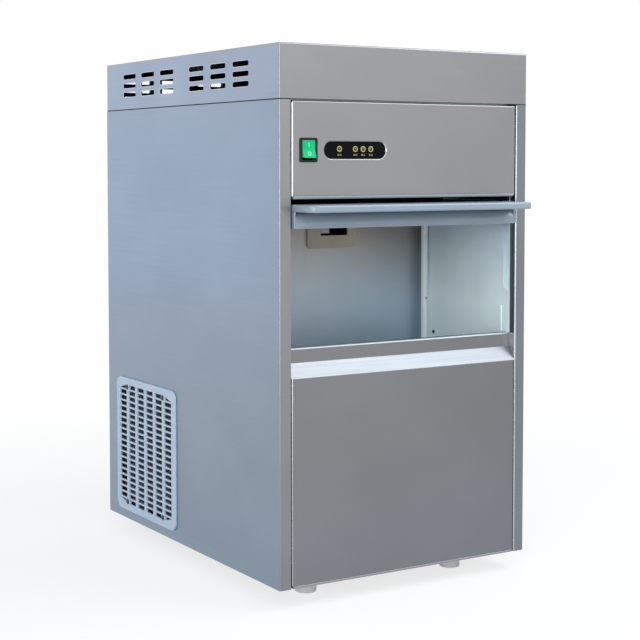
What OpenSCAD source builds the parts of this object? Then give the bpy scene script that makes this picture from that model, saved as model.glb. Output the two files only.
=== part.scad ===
// Flake ice machine: a stainless cabinet with an ice bin, a door that swings
// up and in, and an air-cooled auger ice maker behind the bin.
// Millimetres, +Z up, the front faces -Y. Pieces are drawn in cabinet
// coordinates: x from the middle, y as depth from the front, z from the base.

/* [Cabinet] */
// Width over the side panels
cab_w = 395; // [380:1:420]
// Depth from the front face to the back panel
cab_d = 530; // [526:1:560]
// Height without the feet
cab_h = 693; // [690:1:730]
// Sheet thickness of the casing
sheet_t = 1.2; // [0.8:0.1:1.4]
// Outside radius of the folded edges
bend_r = 2.4; // [2:0.1:3]
// Width of the front posts
post_w = 17.5; // [16:0.5:20]
// Depth of the posts' inner return
recess = 12.5; // [11:0.5:15]
// Height of the top cover
cover_h = 69.5; // [60:0.5:80]
// Open seam under the top cover
seam = 1.5; // [0.8:0.1:2.5]

/* [Feet] */
// Height of a foot
foot_h = 27; // [20:1:40]
// Diameter of a foot
foot_dia = 29; // [22:1:40]
// Feet: distance from the sides
foot_side = 78.5; // [60:0.5:100]
// Feet: distance from the front and back
foot_in = 67; // [50:1:90]

/* [Vents] */
// Length of a vent slot
vent_w = 43.5; // [30:0.5:50]
// Height of a vent slot
vent_h = 7; // [5:0.5:9]
// Pitch of the vent slots along the depth
vent_pitch = 63.2; // [60:0.2:66]
// Pitch of the vent rows
vent_rise = 13.2; // [11:0.2:15]
// Middle of the rear vents from the left side
rear_vent_in = 113.5; // [108:0.5:125]
// Drop of the rear vents below the side vents
rear_vent_drop = 3; // [0:0.5:4]

/* [Control panel] */
// Height of the control panel
panel_h = 124; // [118:1:130]
// Radius of its lower bend
panel_r = 5; // [3:0.5:8]
// Centre of the switch from the left post
switch_in = 25; // [20:1:30]
// Centre of the display from the switch
display_in = 71; // [65:1:85]
// Width of the display window
display_w = 96; // [80:1:104]
// Height of the display window
display_h = 24; // [18:1:30]
// Diameter of an indicator lamp
lamp_dia = 7.5; // [5:0.5:9]

/* [Lower front] */
// Height of the bin mouth between the sill and the control panel
mouth_h = 190; // [180:0.5:200]
// Height of the finger slope
slope_h = 18.5; // [15:0.5:24]
// Height of the sill above the slope
sill_h = 19; // [15:0.5:24]

/* [Door] */
// Thickness of the door
door_t = 31; // [28:0.5:34]
// Thickness of the grip lip
lip_t = 9.5; // [8:0.5:11]
// Reach of the open lip in front of the cabinet
lip_out = 45; // [38:1:50]
// Gap between the open door and the control panel
door_gap = 6.4; // [6:0.2:8]
// Tilt of the link line against the door
link_tilt = 8; // [7:0.5:9]
// Radius of the guide pins
pin_r = 5; // [4:0.1:5.2]
// Thickness of a link arm
arm_t = 2.8; // [2:0.1:3]

/* [Bin] */
// Depth of the bin's back wall
bin_d = 220; // [205:1:225]
// Height of the bin floor
bin_floor = 60; // [50:1:80]
// Thickness of the foam behind the bin
foam_t = 18; // [10:1:24]

/* [Grille] */
// Width of the side grille
grille_w = 199.5; // [198:0.5:204]
// Height of the side grille
grille_h = 203; // [198:0.5:206]
// How far the grille stands proud
grille_out = 3; // [2:0.5:4]
// Length of a grille hole
hole_w = 24; // [20:0.5:26]
// Height of a grille hole
hole_h = 6.2; // [4:0.2:7]

/* [Ice maker] */
// Outside radius of the freezing barrel
barrel_r = 40; // [36:1:42]
// Wall of the freezing barrel
barrel_wall = 5; // [3:0.5:7]
// Radius of the evaporator tube
coil_r = 5; // [4:0.2:5]
// Thickness of the evaporator's foam jacket
jacket_t = 15; // [10:1:20]

/* [Cooling] */
// Radius of the compressor shell
comp_r = 75; // [66:1:76]
// Space between the compressor and the deck above it
comp_gap = 30; // [25:1:50]
// Radius of the refrigerant pipes
pipe_r = 4; // [3:0.5:4]

/* [Rear fittings] */
// Reach of the fittings behind the back panel
rear_out = 26; // [24:1:34]
// Radius of the water inlet thread
inlet_r = 13.2; // [12:0.1:14]
// Radius of the drain tail
tail_r = 10; // [8:0.5:11]
// Radius of the cable bore in the gland
gland_r = 4.5; // [3.5:0.1:5]

/* [Hidden] */
$fn = 48;
t = sheet_t;
half_w = cab_w / 2;
front_y = -(cab_d + rear_out - lip_out) / 2;
seam_z = cab_h - cover_h;
vent_r = min(3.2, vent_h / 2 - 0.2);
rear_vent_z = seam_z + cover_h / 2 - rear_vent_drop;
panel_top = seam_z - 2.5;
panel_bot = panel_top - panel_h;
post_in = half_w - post_w;
panel_half = post_in - 2;
control_z = panel_bot + panel_h / 2;
switch_x = -post_in + switch_in;
display_x = switch_x + display_in;
foot_x = half_w - foot_side;
base_t = 1.7;
rail_up = 10;
lower_bot = base_t + 0.3;
sill_top = panel_bot - mouth_h;
sill_z = sill_top - sill_h;
lower_h = sill_z - slope_h;
sill_back = recess + 15;

// Door linkage: a pin in an upright slot, and a link arm of half the length.
door_top = panel_bot - door_gap;
door_bot = door_top - door_t;
bin_half = post_in - 1;
body_half = bin_half - 4.5;
lip_half = post_in - 3;
pin_y = recess + 7;
pin_in = pin_y - 0.5;
pin_open = door_top - pin_in;
pin_shut = sill_top + 2 + pin_y + lip_out;
link_l = (pin_open - pin_shut) / (cos(link_tilt) - sin(link_tilt));
link_r = link_l / 2;
pivot_z = pin_open + link_l * sin(link_tilt);
mid_y = pin_y + link_r * cos(link_tilt);
mid_z = pivot_z - link_r * sin(link_tilt);
door_back = pin_y + panel_bot - 5.5 - pin_shut;
body_front = -5;
liner_t = 3.4;
slot_r = pin_r + 0.3;
slot_low = pivot_z - link_l - 0.2;
arm_x = body_half + 0.8;
arm_r = 7;
pivot_r = 3;

wall_out = half_w - t;
wall_low = 18;
ceil_z = panel_bot + t;
tub_front = sill_back + 0.2 + t;
bin_back = bin_d + t + foam_t;
tub_path = [[tub_front, sill_top - 8], [tub_front, bin_floor], [bin_d, bin_floor], [bin_d, ceil_z]];
tub_bends = [0, 25, 40, 0];

grille_y = cab_d - 135.5;
grille_z = 115.5;
grille_py = 30.6;
grille_pz = 8.8;

evap_x = wall_out - 176.3;
evap_y = bin_back + 91;
deck_z = ceil_z - 273.2;
deck_t = 1.6;
gear_h = 79.5;
barrel_z = deck_z + deck_t + gear_h;
head_z = barrel_z + 126;
coil_ring = barrel_r + 0.3 + coil_r;
coil_n = 8;
coil_pitch = 2 * coil_r + 0.4;
coil_z = barrel_z + 34;
jacket_in = coil_ring + coil_r + 0.5;
chute_x0 = evap_x - 23;
chute_x1 = evap_x + 23;
chute_z1 = ceil_z - 12.2;
chute_z0 = chute_z1 - 48;
chute_back = bin_back + 23;
flap_z = chute_z1 - 5;
flap_y = bin_d + 3;

comp_x = wall_out - 101.3;
comp_y = cab_d - 110;
comp_z = 12;
comp_h = deck_z - comp_gap - comp_z;
suction_z = comp_z + comp_h * 88 / 183;
cond_x0 = -half_w + t + 4.3;
cond_x1 = cond_x0 + 40;
cond_y0 = grille_y - 95;
cond_y1 = grille_y + 95;
cond_z0 = base_t + 0.2;
cond_z1 = deck_z - 13;
cond_rise = (cond_z1 - cond_z0 - 54.1) / 3;
fan_z = (cond_z0 + cond_z1) / 2 + 3.05;
fan_r = (cond_z1 - cond_z0) / 2 - 27.05;
over_z = deck_z - 6.5;
shroud_x1 = cond_x1 + 22;
fan_x = cond_x1 + 14;
fmot_x0 = shroud_x1 + 12;
drier_x = shroud_x1 + 30;
drier_y = cab_d - 50;
drier_k = deck_z / 225;
drier_z0 = 60 * drier_k;
drier_z1 = 178 * drier_k;
rear_y = cab_d - 12;
tank_x0 = -half_w + t;
tank_x1 = tank_x0 + 80;
tank_y0 = evap_y - 40;
tank_y1 = evap_y + 50;
tank_z0 = head_z - 52.1;
tank_z1 = tank_z0 + 70;
float_x = tank_x1 - 8;
float_z = tank_z1 - 10;
float_y = tank_y0 + 31;
valve_x = tank_x0 + 56.3;
valve_z = tank_z1 + 20;
drain_x = evap_x - 80;
drain_y = bin_d / 2;
drain_z = 19;
gland_x = post_in - 30;
gland_z = 40;
seat = 2;
rocker_y = 5;
rocker_tip = 9;
lamp_x = [-24.2, 0, 11.9, 23.8];

// Moves cabinet coordinates into the shared frame.
module place() {
  translate([0, front_y, foot_h])
    children();
}

// A pair of values about a centre.
function span(c, a, b) = [c + a, c + b];

// A block between two values on each axis.
module bx(x, y, z) {
  translate([x[0], y[0], z[0]])
    cube([x[1] - x[0], y[1] - y[0], z[1] - z[0]]);
}

// Extrudes a (y, z) outline across the width x0 to x1.
module along_x(x0, x1) {
  translate([x0, 0, 0])
    rotate([90, 0, 90])
      linear_extrude(x1 - x0)
        children();
}

// Extrudes an (x, z) outline along the depth y0 to y1.
module along_y(y0, y1) {
  translate([0, y1, 0])
    rotate([90, 0, 0])
      linear_extrude(y1 - y0)
        children();
}

// A round bar along x or y.
module rod_x(x0, x1, y, z, r) {
  translate([x0, y, z])
    rotate([0, 90, 0])
      cylinder(h = x1 - x0, r = r);
}

module rod_y(y0, y1, x, z, r) {
  translate([x, y0, z])
    rotate([-90, 0, 0])
      cylinder(h = y1 - y0, r = r);
}

// Rounded rectangle and round-ended slot, both centred.
module rrect(w, h, r) {
  square([w - 2 * r, h], center = true);
  square([w, h - 2 * r], center = true);
  for (sx = [-1, 1], sy = [-1, 1])
    translate([sx * (w / 2 - r), sy * (h / 2 - r)])
      circle(r = r);
}

module stadium(w, h) {
  square([w - h, h], center = true);
  for (s = [-1, 1])
    translate([s * (w - h) / 2, 0])
      circle(r = h / 2);
}

// Folded sheet: an outline from a path of its face and the bend radii.
function unit(v) = v / norm(v);
function side(a, b) = let (u = unit(b - a)) [-u[1], u[0]];
function turn(p, i) = sign(cross(p[i] - p[i - 1], p[i + 1] - p[i]));
function bend(a, p, b, r) =
  let (u = unit(a - p), v = unit(b - p), h = acos(u * v) / 2)
  r < 0.05 ? [p] :
  let (
    c = p + unit(u + v) * r / sin(h),
    q = p + u * r / tan(h) - c,
    w = p + v * r / tan(h) - c,
    a0 = atan2(q[1], q[0]),
    d0 = atan2(w[1], w[0]) - a0,
    d = d0 > 180 ? d0 - 360 : d0 < -180 ? d0 + 360 : d0,
    n = r > 10 ? 10 : 4
  )
  [for (k = [0 : n]) c + r * [cos(a0 + d * k / n), sin(a0 + d * k / n)]];
function bent(p, r) = [
  for (i = [0 : len(p) - 1])
    each (i == 0 || i == len(p) - 1) ? [p[i]] : bend(p[i - 1], p[i], p[i + 1], r[i])
];
function shifted(p, s) = [
  for (i = [0 : len(p) - 1])
    i == 0 ? p[0] + s * side(p[0], p[1]) :
    i == len(p) - 1 ? p[i] + s * side(p[i - 1], p[i]) :
    let (m = side(p[i - 1], p[i]), n = side(p[i], p[i + 1]), k = unit(m + n))
    p[i] + k * s / (k * m)
];
function shifted_r(p, r, s) = [
  for (i = [0 : len(p) - 1])
    (i == 0 || i == len(p) - 1) ? 0 : max(0, r[i] - s * turn(p, i))
];
function flip(p) = [for (i = [len(p) - 1 : -1 : 0]) p[i]];
function fold(p, r, s) = concat(bent(p, r), flip(bent(shifted(p, s), shifted_r(p, r, s))));
function ring(p, r) = [
  for (i = [0 : len(p) - 1])
    each bend(p[(i + len(p) - 1) % len(p)], p[i], p[(i + 1) % len(p)], r[i])
];

// A block whose edges are rounded by the radii of two outlines.
module eased(x, y, z, r_plan, r_side) {
  intersection() {
    translate([0, 0, z[0]])
      linear_extrude(z[1] - z[0])
        polygon(ring([[x[0], y[0]], [x[1], y[0]], [x[1], y[1]], [x[0], y[1]]], r_plan));
    along_x(x[0] - 1, x[1] + 1)
      polygon(ring([[y[0], z[0]], [y[1], z[0]], [y[1], z[1]], [y[0], z[1]]], r_side));
  }
}

// A round pipe through points joined by square turns of radius b.
module pipe(p, r, b) {
  last = len(p) - 1;
  for (i = [0 : last - 1]) {
    u = unit(p[i + 1] - p[i]);
    a = p[i] + (i > 0 ? b : 0) * u;
    e = p[i + 1] - (i < last - 1 ? b : 0) * u;
    v = abs(u[2]) > 0.5 ? [1, 0, 0] : [0, 0, 1];
    w = cross(u, v);
    multmatrix([[v[0], w[0], u[0], a[0]], [v[1], w[1], u[1], a[1]], [v[2], w[2], u[2], a[2]]])
      cylinder(h = norm(e - a), r = r, $fn = 24);
  }
  for (i = [1 : 1 : last - 1]) {
    u = unit(p[i] - p[i - 1]);
    v = unit(p[i + 1] - p[i]);
    w = cross(u, v);
    c = p[i] + (v - u) * b;
    multmatrix([[-v[0], u[0], w[0], c[0]], [-v[1], u[1], w[1], c[1]], [-v[2], u[2], w[2], c[2]]])
      rotate_extrude(angle = 90, $fn = 32)
        translate([b, 0])
          circle(r = r, $fn = 24);
  }
}

// Casing

module base_pan() {
  color("silver")
    place() {
      bx([-panel_half, panel_half], [0.3, recess + 2], [0, base_t]);
      bx([-wall_out, wall_out], [recess + 2, cab_d - t - 0.2], [0, base_t]);
      for (s = [0, 1])
        mirror([s, 0, 0])
          bx([wall_out - t, wall_out], [recess + 2, cab_d - 30], [0, 15]);
    }
}

module foot(x, y) {
  place()
    translate([x, y, -foot_h])
      rotate_extrude()
        polygon([
          [0, 0], [foot_dia / 2 - 2, 0], [foot_dia / 2, 2], [foot_dia / 2, foot_h - 3],
          [foot_dia / 2 - 1.5, foot_h], [0, foot_h]
        ]);
}

module front_left_foot() {
  color("gainsboro")
    foot(-foot_x, foot_in);
}

module front_right_foot() {
  color("gainsboro")
    foot(foot_x, foot_in);
}

module rear_left_foot() {
  color("gainsboro")
    foot(-foot_x, cab_d - foot_in);
}

module rear_right_foot() {
  color("gainsboro")
    foot(foot_x, cab_d - foot_in);
}

// Right-hand side panel with its front post, folded from one sheet, and the
// rail inside it that carries the top cover.
module side_sheet() {
  path = [[post_in, recess], [post_in, 0], [half_w, 0], [half_w, cab_d]];
  linear_extrude(seam_z - seam)
    polygon(fold(path, [0, bend_r, bend_r, 0], t));
  bx([wall_out - 2, wall_out + t / 2], [30, cab_d - 30], [seam_z - 26, seam_z - seam]);
  bx([wall_out - 2, wall_out], [30, cab_d - 30], [seam_z - seam - 2, seam_z + rail_up]);
}

module left_side_panel() {
  color("lightsteelblue")
    place()
      difference() {
        mirror([1, 0, 0])
          side_sheet();
        bx(
          [-half_w - 1, -wall_out + 1],
          [grille_y - grille_w / 2 + 7, grille_y + grille_w / 2 - 7],
          [grille_z - grille_h / 2 + 7, grille_z + grille_h / 2 - 7]
        );
      }
}

module right_side_panel() {
  color("lightsteelblue")
    place()
      side_sheet();
}

module back_panel() {
  path = [[-wall_out, cab_d - 14], [-wall_out, cab_d], [wall_out, cab_d], [wall_out, cab_d - 14]];
  color("silver")
    place()
      difference() {
        translate([0, 0, base_t])
          linear_extrude(seam_z - seam - base_t)
            polygon(fold(path, [0, bend_r, bend_r, 0], -t));
        for (k = [0 : 9], s = [-1, 1])
          bx(span(s * 90, -55, 55), [cab_d - t - 1, cab_d + 1], span(90 + 12 * k, 0, 5));
        rod_y(cab_d - t - 1, cab_d + 1, valve_x, valve_z, inlet_r + seat + 0.3);
        rod_y(cab_d - t - 1, cab_d + 1, drain_x, drain_z, tail_r + seat + 0.3);
        rod_y(cab_d - t - 1, cab_d + 1, gland_x, gland_z, gland_r + 3.3);
      }
}

module cover_block(s) {
  r = bend_r - s;
  top = cab_h - s;
  intersection() {
    eased(
      [-half_w + s, half_w - s], [s, cab_d - s], [seam_z - s, top],
      [r, r, r, r], [0, 0, r, r]
    );
    along_y(-1, cab_d + 1)
      polygon(ring(
        [[-half_w + s, seam_z - s], [half_w - s, seam_z - s], [half_w - s, top], [-half_w + s, top]],
        [0, 0, r, r]
      ));
  }
}

module top_cover() {
  mid = cab_d / 2 + 8;
  color("silver")
    place()
      difference() {
        cover_block(0);
        cover_block(t);
        for (g = [-1, 1], c = [-1, 0, 1], k = [-1, 0, 1])
          translate([0, mid + g * 109.5 + c * vent_pitch, seam_z + cover_h / 2 + k * vent_rise])
            along_x(-half_w - 1, half_w + 1)
              rrect(vent_w, vent_h, vent_r);
        for (c = [-1, 0, 1], k = [-1, 0, 1])
          translate([-half_w + rear_vent_in + c * vent_pitch, 0, rear_vent_z + k * vent_rise])
            along_y(cab_d - 5, cab_d + 1)
              rrect(vent_w, vent_h, vent_r);
      }
}

module panel_block(s) {
  w = panel_half - s;
  eased(
    [-w, w], [s, 11 + s], [panel_bot + s, panel_top - s],
    [2 - s, 2 - s, 0, 0], [panel_r - s, 0, 0, 2 - s]
  );
}

module control_panel() {
  color("silver")
    place()
      difference() {
        panel_block(0);
        panel_block(t);
        bx(span(switch_x, -11.2, 11.2), [-1, 3], span(control_z, -14.2, 14.2));
        translate([display_x, 0, control_z])
          along_y(-1, 3)
            stadium(display_w, display_h);
      }
}

module lower_front_panel() {
  path = [
    [sill_back, sill_top - 10], [sill_back, sill_top], [recess, sill_top], [recess, sill_z],
    [0, lower_h], [0, lower_bot], [14, lower_bot]
  ];
  bends = [0, bend_r, bend_r, bend_r - t, bend_r, bend_r, 0];
  color("silver")
    place()
      along_x(-panel_half, panel_half)
        polygon(fold(path, bends, t));
}

module side_grille() {
  bars_y = [-2.5, -1.5, -0.5, 0.5, 1.5, 2.5];
  color("lightsteelblue")
    place()
      translate([-half_w - grille_out, grille_y, grille_z])
        along_x(0, grille_out) {
          difference() {
            rrect(grille_w, grille_h, 13);
            for (c = bars_y, k = [-10 : 10])
              translate([c * grille_py, k * grille_pz])
                square([hole_w, hole_h], center = true);
          }
          for (sy = [-2, 2], sz = [-10, 10])
            translate([sy * grille_py, sz * grille_pz])
              circle(r = 6.5);
        }
}

module screw_head() {
  cylinder(h = 1.6, r1 = 4, r2 = 3);
}

module panel_screws() {
  color("gray")
    place() {
      for (sy = [-2, 2], sz = [-10, 10])
        translate([-half_w - grille_out, grille_y + sy * grille_py, grille_z + sz * grille_pz])
          rotate([0, -90, 0])
            screw_head();
      for (sx = [-1, 1], z = [30, seam_z / 2, seam_z - 30])
        translate([sx * (wall_out - 14), cab_d, z])
          rotate([-90, 0, 0])
            screw_head();
      for (sx = [-1, 1])
        translate([sx * 120, cab_d, seam_z + 14])
          rotate([-90, 0, 0])
            screw_head();
    }
}

// Ice bin

module bin_tub() {
  color("silver")
    place()
      difference() {
        along_x(-bin_half, bin_half)
          polygon(fold(tub_path, tub_bends, -t));
        bx([chute_x0 - 2.3, chute_x1 + 2.3], span(bin_d, -1, 3), [chute_z0 - 2.3, chute_z1 + 2.3]);
        translate([drain_x, drain_y, bin_floor - 4])
          cylinder(h = 8, r = 14);
      }
}

// Right-hand wall of the bin with the guide slot, a rib and the arm's pivot.
module bin_wall() {
  difference() {
    bx([bin_half, wall_out], [recess, bin_back], [wall_low, ceil_z]);
    translate([bin_half - 1, pin_y, (slot_low + pin_open + 0.5) / 2])
      along_x(0, 7)
        rotate(90)
          stadium(pin_open + 0.5 - slot_low + 2 * slot_r, 2 * slot_r);
  }
  bx([bin_half - 1.2, bin_half + 1], [recess + 16, recess + 19.5], [sill_top - 7, sill_top + 37]);
  rod_x(arm_x - 0.3, bin_half + 3, pin_y, pivot_z, pivot_r);
}

module left_bin_wall() {
  color("whitesmoke")
    place()
      mirror([1, 0, 0])
        bin_wall();
}

module right_bin_wall() {
  color("whitesmoke")
    place()
      bin_wall();
}

module bin_ceiling() {
  color("silver")
    place()
      union() {
        bx([-wall_out, wall_out], [recess + 0.5, bin_back], [ceil_z, ceil_z + t]);
        bx([-panel_half + 8, panel_half - 8], [panel_r + 1, recess + 1], [ceil_z, ceil_z + t]);
      }
}

module bin_insulation() {
  inner = shifted(tub_path, -t - 0.2);
  curve = bent(inner, shifted_r(tub_path, tub_bends, -t - 0.2));
  outline = concat(
    [[t + 0.3, lower_h - 8], [t + 0.3, 32], [bin_back, 32], [bin_back, ceil_z - 0.3]],
    flip([for (p = curve) [p[0], min(p[1], p[0] > bin_d ? ceil_z - 0.3 : lower_h - 8)]])
  );
  color("khaki")
    place()
      difference() {
        along_x(-bin_half + 0.3, bin_half - 0.3)
          polygon(outline);
        bx([chute_x0 - 2.3, chute_x1 + 2.3], [bin_d, bin_back + 1], [chute_z0 - 2.3, chute_z1 + 2.3]);
        translate([drain_x, drain_y, 20])
          cylinder(h = 60, r = 14);
      }
}

module sensor_tube() {
  tube_x = bin_half - 7;
  tube_y = bin_d - 16;
  tube_z = sill_z - 60;
  color("lightgray")
    place() {
      translate([tube_x, tube_y, tube_z])
        cylinder(h = ceil_z - tube_z, r = 5);
      translate([tube_x, tube_y, tube_z])
        sphere(r = 5);
      bx([tube_x, bin_half], span(tube_y, -2, 2), span(sill_top, 30, 38));
      bx([tube_x, bin_half], span(tube_y, -2, 2), span(ceil_z, -30, -22));
    }
}

module ice_outlet() {
  mid_x = evap_x - 4.3;
  low = chute_z0 - 18.4;
  color("darkkhaki")
    place()
      difference() {
        union() {
          intersection() {
            translate([mid_x, 0, low + 50])
              along_y(bin_d - 3, bin_d)
                rrect(81.4, 100, 8);
            bx(span(mid_x, -50, 50), span(bin_d, -4, 1), [low, ceil_z - 0.3]);
          }
          bx([chute_x0 - 2, chute_x1 + 2], [bin_d - 1, chute_back], [chute_z0 - 2, chute_z1 + 2]);
        }
        bx([chute_x0, chute_x1], [bin_d - 9, chute_back + 1], [chute_z0, chute_z1]);
        rod_x(chute_x0 - 5, chute_x1 + 5, flap_y, flap_z, 2.05);
      }
}

module ice_flap() {
  color("white")
    place() {
      rod_x(chute_x0 - 1.8, chute_x1 + 1.8, flap_y, flap_z, 2);
      rod_x(evap_x - 19.6, evap_x - 5.1, flap_y, flap_z, 3.6);
      bx(span(evap_x, -19.6, -5.1), span(flap_y, -1, 1), [chute_z0 + 3, flap_z]);
    }
}

// Water and drain

module bin_drain() {
  color("dimgray")
    place()
      translate([drain_x, drain_y, 0]) {
        difference() {
          union() {
            translate([0, 0, bin_floor])
              cylinder(h = 2, r = 20);
            translate([0, 0, drain_z])
              cylinder(h = bin_floor - drain_z + 1, r = 12.5);
          }
          translate([0, 0, drain_z + 4])
            cylinder(h = bin_floor, r = 9.5);
        }
      }
}

module drain_hose() {
  color("gray")
    place()
      rod_y(drain_y + 12.8, cab_d - 34, drain_x, drain_z, 11);
}

module drain_tail() {
  color("dimgray")
    place()
      difference() {
        union() {
          rod_y(cab_d - 34, cab_d - t - 6.2, drain_x, drain_z, 9);
          rod_y(cab_d - t - 6.2, cab_d - t - 0.2, drain_x, drain_z, 15);
          rod_y(cab_d - t - 0.4, cab_d + seat, drain_x, drain_z, tail_r + seat);
          rod_y(cab_d, cab_d + rear_out, drain_x, drain_z, tail_r);
        }
        rod_y(cab_d - 30, cab_d + rear_out + 1, drain_x, drain_z, tail_r - 3);
      }
}

module inlet_valve() {
  color("white")
    place()
      difference() {
        union() {
          bx(span(valve_x, -20, 20), span(cab_d - t, -44, -0.2), span(valve_z, -17, 17));
          rod_y(cab_d - t - 1, cab_d + seat, valve_x, valve_z, inlet_r + seat);
          rod_y(cab_d, cab_d + rear_out, valve_x, valve_z, inlet_r);
          translate([valve_x, cab_d - t - 24, valve_z + 16])
            cylinder(h = 26, r = 14);
          rod_y(cab_d - t - 52, cab_d - t - 43, valve_x, valve_z, 6);
        }
        rod_y(cab_d, cab_d + rear_out + 1, valve_x, valve_z, inlet_r - 4);
      }
}

module inlet_hose() {
  hose_y = tank_y0 + 55;
  color("lightgray")
    place()
      pipe(
        [
          [valve_x, cab_d - t - 52.2, valve_z], [valve_x, hose_y, valve_z],
          [valve_x, hose_y, tank_z1 + 2.2]
        ],
        5, 12
      );
}

module power_gland() {
  color("black")
    place()
      difference() {
        union() {
          rod_y(cab_d, cab_d + 6, gland_x, gland_z, gland_r + 7);
          rod_y(cab_d + 5, cab_d + 20, gland_x, gland_z, gland_r + 5);
          rod_y(cab_d - 14, cab_d + 1, gland_x, gland_z, gland_r + 3);
          rod_y(cab_d - t - 6, cab_d - t, gland_x, gland_z, gland_r + 7);
        }
        rod_y(cab_d - 20, cab_d + 30, gland_x, gland_z, gland_r);
      }
}

// Ice maker

module machine_deck() {
  color("silver")
    place() {
      bx([-wall_out, wall_out], [bin_back + 0.3, rear_y - 10], [deck_z, deck_z + deck_t]);
      bx([-wall_out, wall_out], [bin_back + 0.3, bin_back + 2], [deck_z - 14, deck_z + 1]);
    }
}

module gearbox() {
  color("slategray")
    place()
      difference() {
        union() {
          bx(span(evap_x, -55, 52), span(evap_y, -50, 50), [deck_z + deck_t, barrel_z - 12]);
          translate([evap_x, evap_y, barrel_z - 13])
            cylinder(h = 13, r = 48);
        }
        translate([evap_x, evap_y, barrel_z - 30])
          cylinder(h = 40, r = 10.05);
      }
}

module drive_motor() {
  z = deck_z + deck_t + 36;
  color("dimgray")
    place() {
      rod_x(evap_x + 52, evap_x + 60, evap_y, z, 34);
      rod_x(evap_x + 59, evap_x + 140, evap_y, z, 36);
      rod_x(evap_x + 139, evap_x + 156, evap_y, z, 32);
      bx(span(evap_x, 75, 120), span(evap_y, -14, 14), span(z, 30, 50));
    }
}

module evaporator_barrel() {
  color("lightgray")
    place()
      difference() {
        union() {
          translate([evap_x, evap_y, barrel_z])
            cylinder(h = head_z - barrel_z, r = barrel_r);
          translate([evap_x, evap_y, barrel_z])
            cylinder(h = 8, r = 48);
        }
        translate([evap_x, evap_y, barrel_z - 1])
          cylinder(h = head_z - barrel_z + 2, r = barrel_r - barrel_wall);
      }
}

module evaporator_coil() {
  color("peru")
    place()
      for (k = [0 : coil_n - 1])
        translate([evap_x, evap_y, coil_z + k * coil_pitch])
          rotate_extrude()
            translate([coil_ring, 0])
              circle(r = coil_r, $fn = 24);
}

module evaporator_jacket() {
  top = coil_z + (coil_n - 1) * coil_pitch;
  color("khaki")
    place()
      difference() {
        translate([evap_x, evap_y, coil_z - 8])
          cylinder(h = top - coil_z + 16, r = jacket_in + jacket_t);
        translate([evap_x, evap_y, coil_z - 9])
          cylinder(h = top - coil_z + 18, r = jacket_in);
        rod_y(evap_y + 30, evap_y + 90, evap_x, coil_z, pipe_r + 0.4);
        rod_x(evap_x + 30, evap_x + 90, evap_y, top, pipe_r + 0.4);
      }
}

module ice_head() {
  color("gainsboro")
    place()
      difference() {
        union() {
          translate([evap_x, evap_y, head_z])
            cylinder(h = 66, r = 46);
          bx(
            [chute_x0 - 4, chute_x1 + 4], [chute_back + 0.2, evap_y],
            [chute_z0 - 4, chute_z1 + 4]
          );
        }
        translate([evap_x, evap_y, head_z - 1])
          cylinder(h = 56, r = barrel_r - barrel_wall);
        bx([chute_x0, chute_x1], [chute_back - 1, evap_y], [chute_z0, chute_z1]);
        translate([evap_x, evap_y, head_z])
          cylinder(h = 62, r = 8.05);
      }
}

module auger() {
  flight = barrel_r - barrel_wall - 0.7;
  color("lightsteelblue")
    place()
      translate([evap_x, evap_y, 0]) {
        translate([0, 0, barrel_z - 29.8])
          cylinder(h = 32, r = 10);
        translate([0, 0, barrel_z + 2])
          cylinder(h = head_z - barrel_z + 20, r = 16);
        translate([0, 0, head_z + 21])
          cylinder(h = 40, r = 8);
        translate([0, 0, barrel_z + 4])
          linear_extrude(head_z - barrel_z - 6, twist = -1080, slices = 72, segments = 4)
            translate([12, -3])
              square([flight - 12.2, 6]);
      }
}

module water_tank() {
  y = float_y;
  color("whitesmoke")
    place()
      difference() {
        union() {
          difference() {
            bx([tank_x0, tank_x1], [tank_y0, tank_y1], [tank_z0, tank_z1]);
            bx(
              [tank_x0 + 2.5, tank_x1 - 2.5], [tank_y0 + 2.5, tank_y1 - 2.5],
              [tank_z0 + 2.5, tank_z1 + 1]
            );
          }
          bx([tank_x0, tank_x1], span(tank_y0, 45, 65), span(tank_z1, -1, 2));
          for (s = [-1, 1])
            bx([float_x - 5, tank_x1 - 1], span(y + s * 12, -3, 3), span(float_z, -6, 6));
        }
        rod_y(y - 16, y + 16, float_x, float_z, 2.05);
      }
}

module tank_float() {
  color("white")
    place() {
      rod_y(float_y - 14, float_y + 14, float_x, float_z, 2);
      rod_y(float_y - 8, float_y + 8, float_x, float_z, 4);
      bx([float_x - 46, float_x], span(float_y, -3, 3), span(float_z, -3, 3));
      translate([float_x - 42, float_y, float_z - 32])
        cylinder(h = 30, r = 11);
    }
}

module feed_hose() {
  color("lightgray")
    place()
      pipe(
        [
          [valve_x, evap_y, tank_z0 - 0.2], [valve_x, evap_y, barrel_z + 16],
          [evap_x - barrel_r - 0.2, evap_y, barrel_z + 16]
        ],
        6, 14
      );
}

// Cooling

module compressor() {
  top = comp_z + comp_h;
  color("black")
    place()
      translate([comp_x, comp_y, 0]) {
        rotate_extrude()
          polygon([
            [0, comp_z], [comp_r - 18, comp_z], [comp_r - 4, comp_z + 14], [comp_r, comp_z + 30],
            [comp_r, top - 52], [comp_r - 7, top - 26], [comp_r - 26, top - 7], [0, top]
          ]);
        bx([-82, 82], [-60, 60], span(comp_z, -3, 0.2));
        translate([35, 20, top - 40])
          cylinder(h = 36, r = 6);
        rod_y(comp_r - 12, comp_r + 6, 0, suction_z, 6);
      }
}

module compressor_grommets() {
  color("dimgray")
    place()
      for (sx = [-1, 1], sy = [-1, 1])
        translate([comp_x + sx * 68, comp_y + sy * 48, base_t])
          cylinder(h = comp_z - 3 - base_t, r = comp_r / 6.25);
}

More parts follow.
